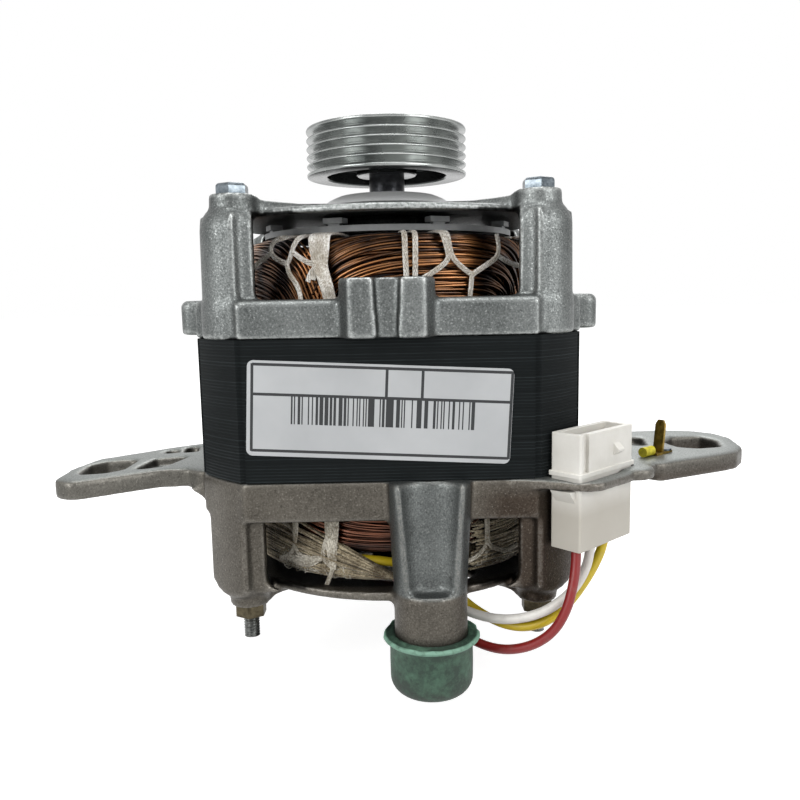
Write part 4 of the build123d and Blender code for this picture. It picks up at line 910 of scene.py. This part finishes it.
cap = {
    "x": 9.2, "y": -45.5, "bottom": -48.4, "outer": 10.2, "corner": 4.0, "cornerSteps": 8, "steps": 120,
    # from the round corner up the wall, over the flange and down into the bore
    "profile": [
        (10.25, -40), (10.2, -36.4), (10.5, -35.4), (11.4, -34.8), (11.9, -34.35), (11.85, -33.9),
        (11.4, -33.5), (10.6, -33.75), (10.0, -33.5), (9.22, -33.4), (9.02, -33.7), (9.02, -46.0), (0, -46.0),
    ],
    # the flange's rim is torn: from which height and radius, in how many steps, and how far out and up
    "seed": 3, "tornFrom": -35.6, "tornOutside": 10.3, "tears": 40, "width": 1.6, "out": 0.022, "up": 0.22,
}


def greenRubber():
    # moulded rubber, green and matt: chalky blotches, a pale torn rim, and darker towards its bottom
    material, tree, place, chalk, drift = startMaterial("greenMouldedRubber", {
        "Roughness": 0.66, "IOR": 1.52,
    }, [(1.6, 6, 0.65), (8, 3, 0.5)])
    both = addNode(tree, "Math", [chalk, drift], operation="ADD")
    fromAxis = addNode(tree, "Mapping", [place, (-cap["x"] * mm, -cap["y"] * mm, 0)])
    inMm = addNode(tree, "VectorMath", {0: fromAxis, "Scale": 1 / mm}, operation="SCALE")
    axes = addNode(tree, "SeparateXYZ", [inMm]).outputs
    flat = addNode(tree, "CombineXYZ", [axes[0], axes[1]])
    reach = addNode(tree, "VectorMath", [flat], operation="LENGTH")
    skin = "#152c20"
    for limits, patchy, colour in (
        ((both, 0.86, 1.36, 0.0, 0.85), (0.3, 0.5, 1.0, 1.0), "#4d705b"),
        ((reach, 11.1, 11.6, 0.0, 0.9), (0.3, 0.5, 0.4, 1.0), "#789f8b"),
        ((axes[2], -48.2, -41.0, 0.9, 0.0), (0.35, 0.6, 1.0, 0.5), "#232621"),
    ):
        blotch = addNode(tree, "MapRange", [chalk, *patchy])
        share = addNode(tree, "Math", [addNode(tree, "MapRange", limits), blotch], operation="MULTIPLY")
        skin = addNode(tree, "Mix", {0: share, 6: skin, 7: colour}, data_type="RGBA")
    return finishMaterial(material, skin, chalk, 0.6, 0.25)


def makeCap():
    bottom, outer, corner, tears = cap["bottom"], cap["outer"], cap["corner"], cap["tears"]
    profile = [(0, bottom), (outer - corner - 3, bottom)]
    for k in range(cap["cornerSteps"] + 1):
        turn = math.pi / 2 * k / cap["cornerSteps"]
        profile.append((outer - corner + corner * math.sin(turn), bottom + corner - corner * math.cos(turn)))
    shape = spun(profile + cap["profile"], cap["steps"], (cap["x"], cap["y"], 0))
    rng = random.Random(cap["seed"])
    ragged = [rng.uniform(-1, 1) for _ in range(tears)]
    for v in shape.verts:
        x, y, z = v.co.x / mm - cap["x"], v.co.y / mm - cap["y"], v.co.z / mm
        reach = math.hypot(x, y) - cap["tornOutside"]
        if z > cap["tornFrom"] and reach > 0:
            turn = (math.atan2(y, x) / (2 * math.pi) + 0.5) * tears
            k = int(turn) % tears
            wobble = ragged[k] * (1 - turn % 1) + ragged[(k + 1) % tears] * (turn % 1)
            wobble *= reach / cap["width"]
            grow = 1 + cap["out"] * wobble
            v.co.x = (x * grow + cap["x"]) * mm
            v.co.y = (y * grow + cap["y"]) * mm
            v.co.z += cap["up"] * mm * wobble
    addPiece("rubberCap", meshFrom(shape, "rubberCap"), "stator", greenRubber(), ["bumper_cap"])


makeCap()
print("cap made")


# Label

label = {
    "x": -2.3, "z": 21.6, "tilt": 3.0, "ink": "#16181a", "film": ("#9b9d9f", "#bbbdbe"), "bar": 0.30,
    # rectangles from the label's centre: middle and half size along X and Z
    "frame": [
        (0.4, 10.4, 30.4, 0.34), (0.4, -10.0, 30.4, 0.34), (-30.0, 0.2, 0.34, 10.4), (30.8, 0.2, 0.34, 10.4),
        (0.4, 3.4, 30.4, 0.34), (1.5, 6.9, 0.34, 3.5), (9.9, 6.9, 0.34, 3.5),
    ],
    "bars": (0.8, -0.2, 21.6, 3.3),
}


def labelFilm():
    # silver grey film, left without words: a thin frame, its cells and a row of plain bars
    material, tree, place, smudge = startMaterial("silverLabelFilm", {
        "Roughness": 0.45, "IOR": 1.5,
    }, [(14, 6, 0.5)])
    moved = addNode(tree, "Mapping", [place, (-label["x"] * mm, 0, -label["z"] * mm)])
    tilt = math.radians(-label["tilt"])
    turned = addNode(tree, "VectorRotate", {0: moved, "Angle": tilt}, rotation_type="Y_AXIS")
    axes = addNode(tree, "SeparateXYZ", [turned]).outputs

    def box(x, z, halfX, halfZ):
        # one inside the rectangle, nought outside
        inX = addNode(tree, "Math", [axes[0], x * mm, halfX * mm], operation="COMPARE")
        inZ = addNode(tree, "Math", [axes[2], z * mm, halfZ * mm], operation="COMPARE")
        return addNode(tree, "Math", [inX, inZ], operation="MULTIPLY")

    along = addNode(tree, "Math", [axes[0], 1 / (label["bar"] * mm)], operation="MULTIPLY")
    bar = addNode(tree, "Math", [along], operation="FLOOR")
    picked = addNode(tree, "TexWhiteNoise", {"W": bar}, noise_dimensions="1D")
    dark = addNode(tree, "Math", [picked, 0.46], operation="GREATER_THAN")
    ink = addNode(tree, "Math", [dark, box(*label["bars"])], operation="MULTIPLY")
    for mark in label["frame"]:
        ink = addNode(tree, "Math", [ink, box(*mark)], operation="MAXIMUM")
    film = addNode(tree, "Mix", {0: smudge, 6: label["film"][0], 7: label["film"][1]}, data_type="RGBA")
    shade = addNode(tree, "Mix", {0: ink, 6: film, 7: label["ink"]}, data_type="RGBA")
    return finishMaterial(material, shade, smudge, 0.3, 0.6)


dress(nodes["blank_label"], labelFilm())


# Connector, earth tab and the rest; each finish has its two shades, roughness and patches in millimetres

metals = {
    "stampedBrass": ("#b89a4a", "#6f5a24", 0.36, 2.0),
    "zincPlatedSteel": ("#71787d", "#3d4449", 0.28, 2.0),
    "dulledZincSteel": ("#8b8d8b", "#5c5d5b", 0.34, 1.5),
    "yellowPassivatedZinc": ("#575040", "#332e24", 0.46, 1.5),
    "groundBearingSteel": ("#c4c6c8", "#8f9193", 0.22, 4.0),
    # the shaft is painted near black, as painted shade inside the pulley
    "groundSteelPaintedShade": ("#3b3c3e", "#1b1c1e", 0.30, 3.0),
    "turnedSheetSteel": ("#7f8183", "#5a5c5e", 0.42, 5.0),
    "castRotorAluminium": ("#b4b6b8", "#8d8f91", 0.45, 2.5),
    "upperPolishedBalls": ("#d8dadc", "#c4c6c8", 0.08, 3.0),
    "lowerPolishedBalls": ("#d8dadc", "#c4c6c8", 0.08, 3.0),
}

plastics = {
    # the connector is also painted darker and warmer below the flange, as painted shade from the flange, with
    # some dust and oil
    "ivoryNylon": ("#dedcd6", "#cdcac2", 0.42, 14.0, "#aaa498"),
    "yellowSoftSleeve": ("#cfc42a", "#9c8f1c", 0.5, 1.5),
    "greyFanNylon": ("#a9abab", "#7d8081", 0.5, 8.0),
    "polyesterSlotFilm": ("#d6d0bc", "#b8b19c", 0.35, 5.0),
    "upperSealRubber": ("#1d1d1e", "#121213", 0.6, 3.0),
    "lowerSealRubber": ("#1d1d1e", "#121213", 0.6, 3.0),
}

dressed = {
    "stampedBrass": ["connector_terminals", "earth_tab"],
    "zincPlatedSteel": ["earth_rivet"],
    "yellowPassivatedZinc": ["upper_ball_cage", "lower_ball_cage"],
    "groundBearingSteel": ["upper_bearing_outer_race", "upper_bearing_inner_race", "lower_bearing_outer_race",
                           "lower_bearing_inner_race", "preload_washer"],
    "groundSteelPaintedShade": ["shaft"],
    "turnedSheetSteel": ["rotor_core"],
    "castRotorAluminium": ["rotor_cage"],
    "upperPolishedBalls": ["upper_bearing_balls"],
    "lowerPolishedBalls": ["lower_bearing_balls"],
    "yellowSoftSleeve": ["earth_sleeve"],
    "greyFanNylon": ["cooling_fan"],
    "polyesterSlotFilm": ["slot_liners"],
    "upperSealRubber": ["upper_bearing_seals"],
    "lowerSealRubber": ["lower_bearing_seals"],
}

shell = {"width": 0.22, "segments": 2, "sharp": 25}


def mouldedPlastic(name, light, dark, roughness, grain, film=None):
    # moulded thermoplastic: even satin, slightly greyed by handling
    material, tree, place, soil, fine = startMaterial(name, {
        "Roughness": roughness, "IOR": 1.5,
    }, [(grain, 6, 0.6), (0.8, 3, 0.5)])
    fade = addNode(tree, "MapRange", [soil, 0.35, 0.7, 0.0, 1.0])
    shade = addNode(tree, "Mix", {0: fade, 6: light, 7: dark}, data_type="RGBA")
    if film:
        # painted shade: below the flange the plastic is drawn towards a darker, warmer shade
        height = addNode(tree, "SeparateXYZ", [place]).outputs[2]
        low = addNode(tree, "MapRange", [height, 2 * mm, -4 * mm, 0.0, 0.8])
        shade = addNode(tree, "Mix", {0: low, 6: shade, 7: film}, data_type="RGBA")
    return finishMaterial(material, shade, fine, 0.2, 0.05)


def plainMetal(name, light, dark, roughness, grain):
    # bare or plated metal: two close shades in patches and a light surface grain
    looks = {"Metallic": 1.0, "Roughness": roughness}
    material, tree, _, patch = startMaterial(name, looks, [(grain, 6, 0.65)])
    fade = addNode(tree, "MapRange", [patch, 0.35, 0.65, 0.0, 1.0])
    shade = addNode(tree, "Mix", {0: fade, 6: dark, 7: light}, data_type="RGBA")
    return finishMaterial(material, shade, patch, 0.4, 0.08)


def makeShell():
    # the connector's CAD solid with its sharp edges rounded
    shape = mergedCopy("connector_housing")
    bmesh.ops.dissolve_limit(shape, angle_limit=math.radians(1), verts=shape.verts, edges=shape.edges)
    limit = math.radians(shell["sharp"])
    sharp = [e for e in shape.edges if len(e.link_faces) == 2 and e.calc_face_angle(0) > limit]
    roundEdges(shape, sharp, shell["width"], shell["segments"])
    addPiece("connectorShell", meshFrom(shape, "connectorShell"), "stator", finishes["ivoryNylon"],
             ["connector_housing"], smooth=False)


finishes = {name: plainMetal(name, *look) for name, look in metals.items()}
finishes.update({name: mouldedPlastic(name, *look) for name, look in plastics.items()})
makeShell()
for finish, names in dressed.items():
    for name in names:
        dress(nodes[name], finishes[finish])
print("small pieces dressed")


# Bolts and nuts

bolts = {
    "pitch": 36.7, "flats": 7.0, "seat": 73.3, "head": 2.7, "headChamfer": 1.0, "nutBase": -31.7, "nut": 3.2,
    "nutChamfer": 0.5, "corner": 0.25, "end": -37.4, "radius": 2.0, "core": 1.66, "thread": 0.7,
    "threadOver": 2, "point": 1.0, "tip": 0.3, "steps": 24, "sharp": 32,
}


def hexPrism(low, high, chamfer):
    # a hexagon as wide over its flats as the bolts' heads, its corners turned down at one end
    shape = bmesh.new()
    wide = bolts["flats"] / 2 / math.cos(math.pi / 6)
    bmesh.ops.create_cone(shape, cap_ends=True, segments=6, radius1=wide * mm, radius2=wide * mm,
                          depth=(high - low) * mm)
    bmesh.ops.translate(shape, verts=shape.verts, vec=(0, 0, (low + high) / 2 * mm))
    rim = [e for e in shape.edges if all(v.co.z > (high - 0.01) * mm for v in e.verts)]
    corners = [e for e in shape.edges if abs(e.verts[0].co.z - e.verts[1].co.z) > 0.5 * mm]
    roundEdges(shape, rim, chamfer, 4)
    roundEdges(shape, [e for e in corners if e.is_valid], bolts["corner"], 2)
    return shape


def atBolts(part, name, finish, replaced):
    # the same piece on the four corners
    shape = bmesh.new()
    for x in (-1, 1):
        for y in (-1, 1):
            copy = part.copy()
            place = Vector((x * bolts["pitch"], y * bolts["pitch"], 0)) * mm
            bmesh.ops.translate(copy, verts=copy.verts, vec=place)
            joinShape(shape, copy, name)
    part.free()
    mesh = meshFrom(shape, name)
    mesh.shade_smooth()
    sharpen(mesh, bolts["sharp"])
    addPiece(name, mesh, "stator", finishes[finish], replaced)


def makeBolts():
    seat, radius, core, pitch, end = (bolts[key] for key in ("seat", "radius", "core", "thread", "end"))
    atBolts(hexPrism(seat, seat + bolts["head"], bolts["headChamfer"]), "boltHeads", "zincPlatedSteel", [])
    level = bolts["nutBase"] + bolts["threadOver"]
    profile = [(0, seat + 0.5), (radius, seat + 0.5), (radius, level)]
    for k in range(int((level - end) / pitch)):
        profile += [(core, level - pitch * (k + 0.5)), (radius, level - pitch * (k + 1))]
    profile += [(core, end + bolts["tip"]), (bolts["point"], end), (0, end)]
    atBolts(spun(profile, bolts["steps"]), "boltShanks", "dulledZincSteel", ["through_bolts"])
    nut = hexPrism(bolts["nutBase"], bolts["nutBase"] + bolts["nut"], bolts["nutChamfer"])
    atBolts(nut, "lockNuts", "yellowPassivatedZinc", ["lock_nuts"])


makeBolts()
print("bolts made")


# Floor and light

studio = {
    "floor": -0.0487, "floorSize": 4, "floorShade": (0.55, 0.55, 0.55, 1), "floorGlow": 0.84, "world": 0.32,
    "white": (1, 1, 1, 1), "aim": (0, 0, 0.02),
    "lamps": [
        ("keyLamp", (-0.74, -0.68, 0.40), 0.50, 6.0), ("fillLamp", (0.74, -0.68, 0.40), 0.50, 5.2),
        ("topLamp", (0.0, -0.16, 0.95), 0.6, 5.4), ("backLamp", (0.1, 0.8, 0.7), 0.6, 4.0),
    ],
}


def seenDirectly(tree):
    # one for rays from the camera, off a gloss or through glass, nought for the light that falls on pieces
    rays = addNode(tree, "LightPath").outputs
    seen = addNode(tree, "Math", [rays["Is Camera Ray"], rays["Is Glossy Ray"]], operation="MAXIMUM")
    return addNode(tree, "Math", [seen, rays["Is Transmission Ray"]], operation="MAXIMUM")


def makeFloor():
    shape = bmesh.new()
    bmesh.ops.create_grid(shape, x_segments=2, y_segments=2, size=studio["floorSize"])
    bmesh.ops.translate(shape, verts=shape.verts, vec=(0, 0, studio["floor"]))
    slab = addObject("floor", meshFrom(shape, "floor"))
    looks = {"Roughness": 0.9, "Base Color": studio["floorShade"]}
    material, tree, _ = startMaterial("paleFloor", looks)
    lit = tree.nodes["Principled BSDF"]
    glow = addNode(tree, "Emission", {"Color": studio["white"], "Strength": studio["floorGlow"]})
    both = addNode(tree, "AddShader", [lit, glow])
    mixed = addNode(tree, "MixShader", [seenDirectly(tree), lit, both])
    feed(tree, mixed, tree.nodes["Material Output"].inputs["Surface"])
    dress(slab, material)


def makeLight():
    world = bpy.data.worlds.new("studioWorld")
    bpy.context.scene.world = world
    world.use_nodes = True
    sky = world.node_tree
    inputs = sky.nodes["Background"].inputs
    feed(sky, studio["white"], inputs["Color"])
    feed(sky, addNode(sky, "Mix", {0: seenDirectly(sky), 2: studio["world"], 3: 1.0}), inputs["Strength"])
    for name, place, size, power in studio["lamps"]:
        data = bpy.data.lights.new(name, "AREA")
        data.size = size
        data.energy = power
        aim = (Vector(studio["aim"]) - Vector(place)).to_track_quat("-Z", "Y")
        addObject(name, data).matrix_world = Matrix.Translation(place) @ aim.to_matrix().to_4x4()


makeFloor()
makeLight()
print("studio made")
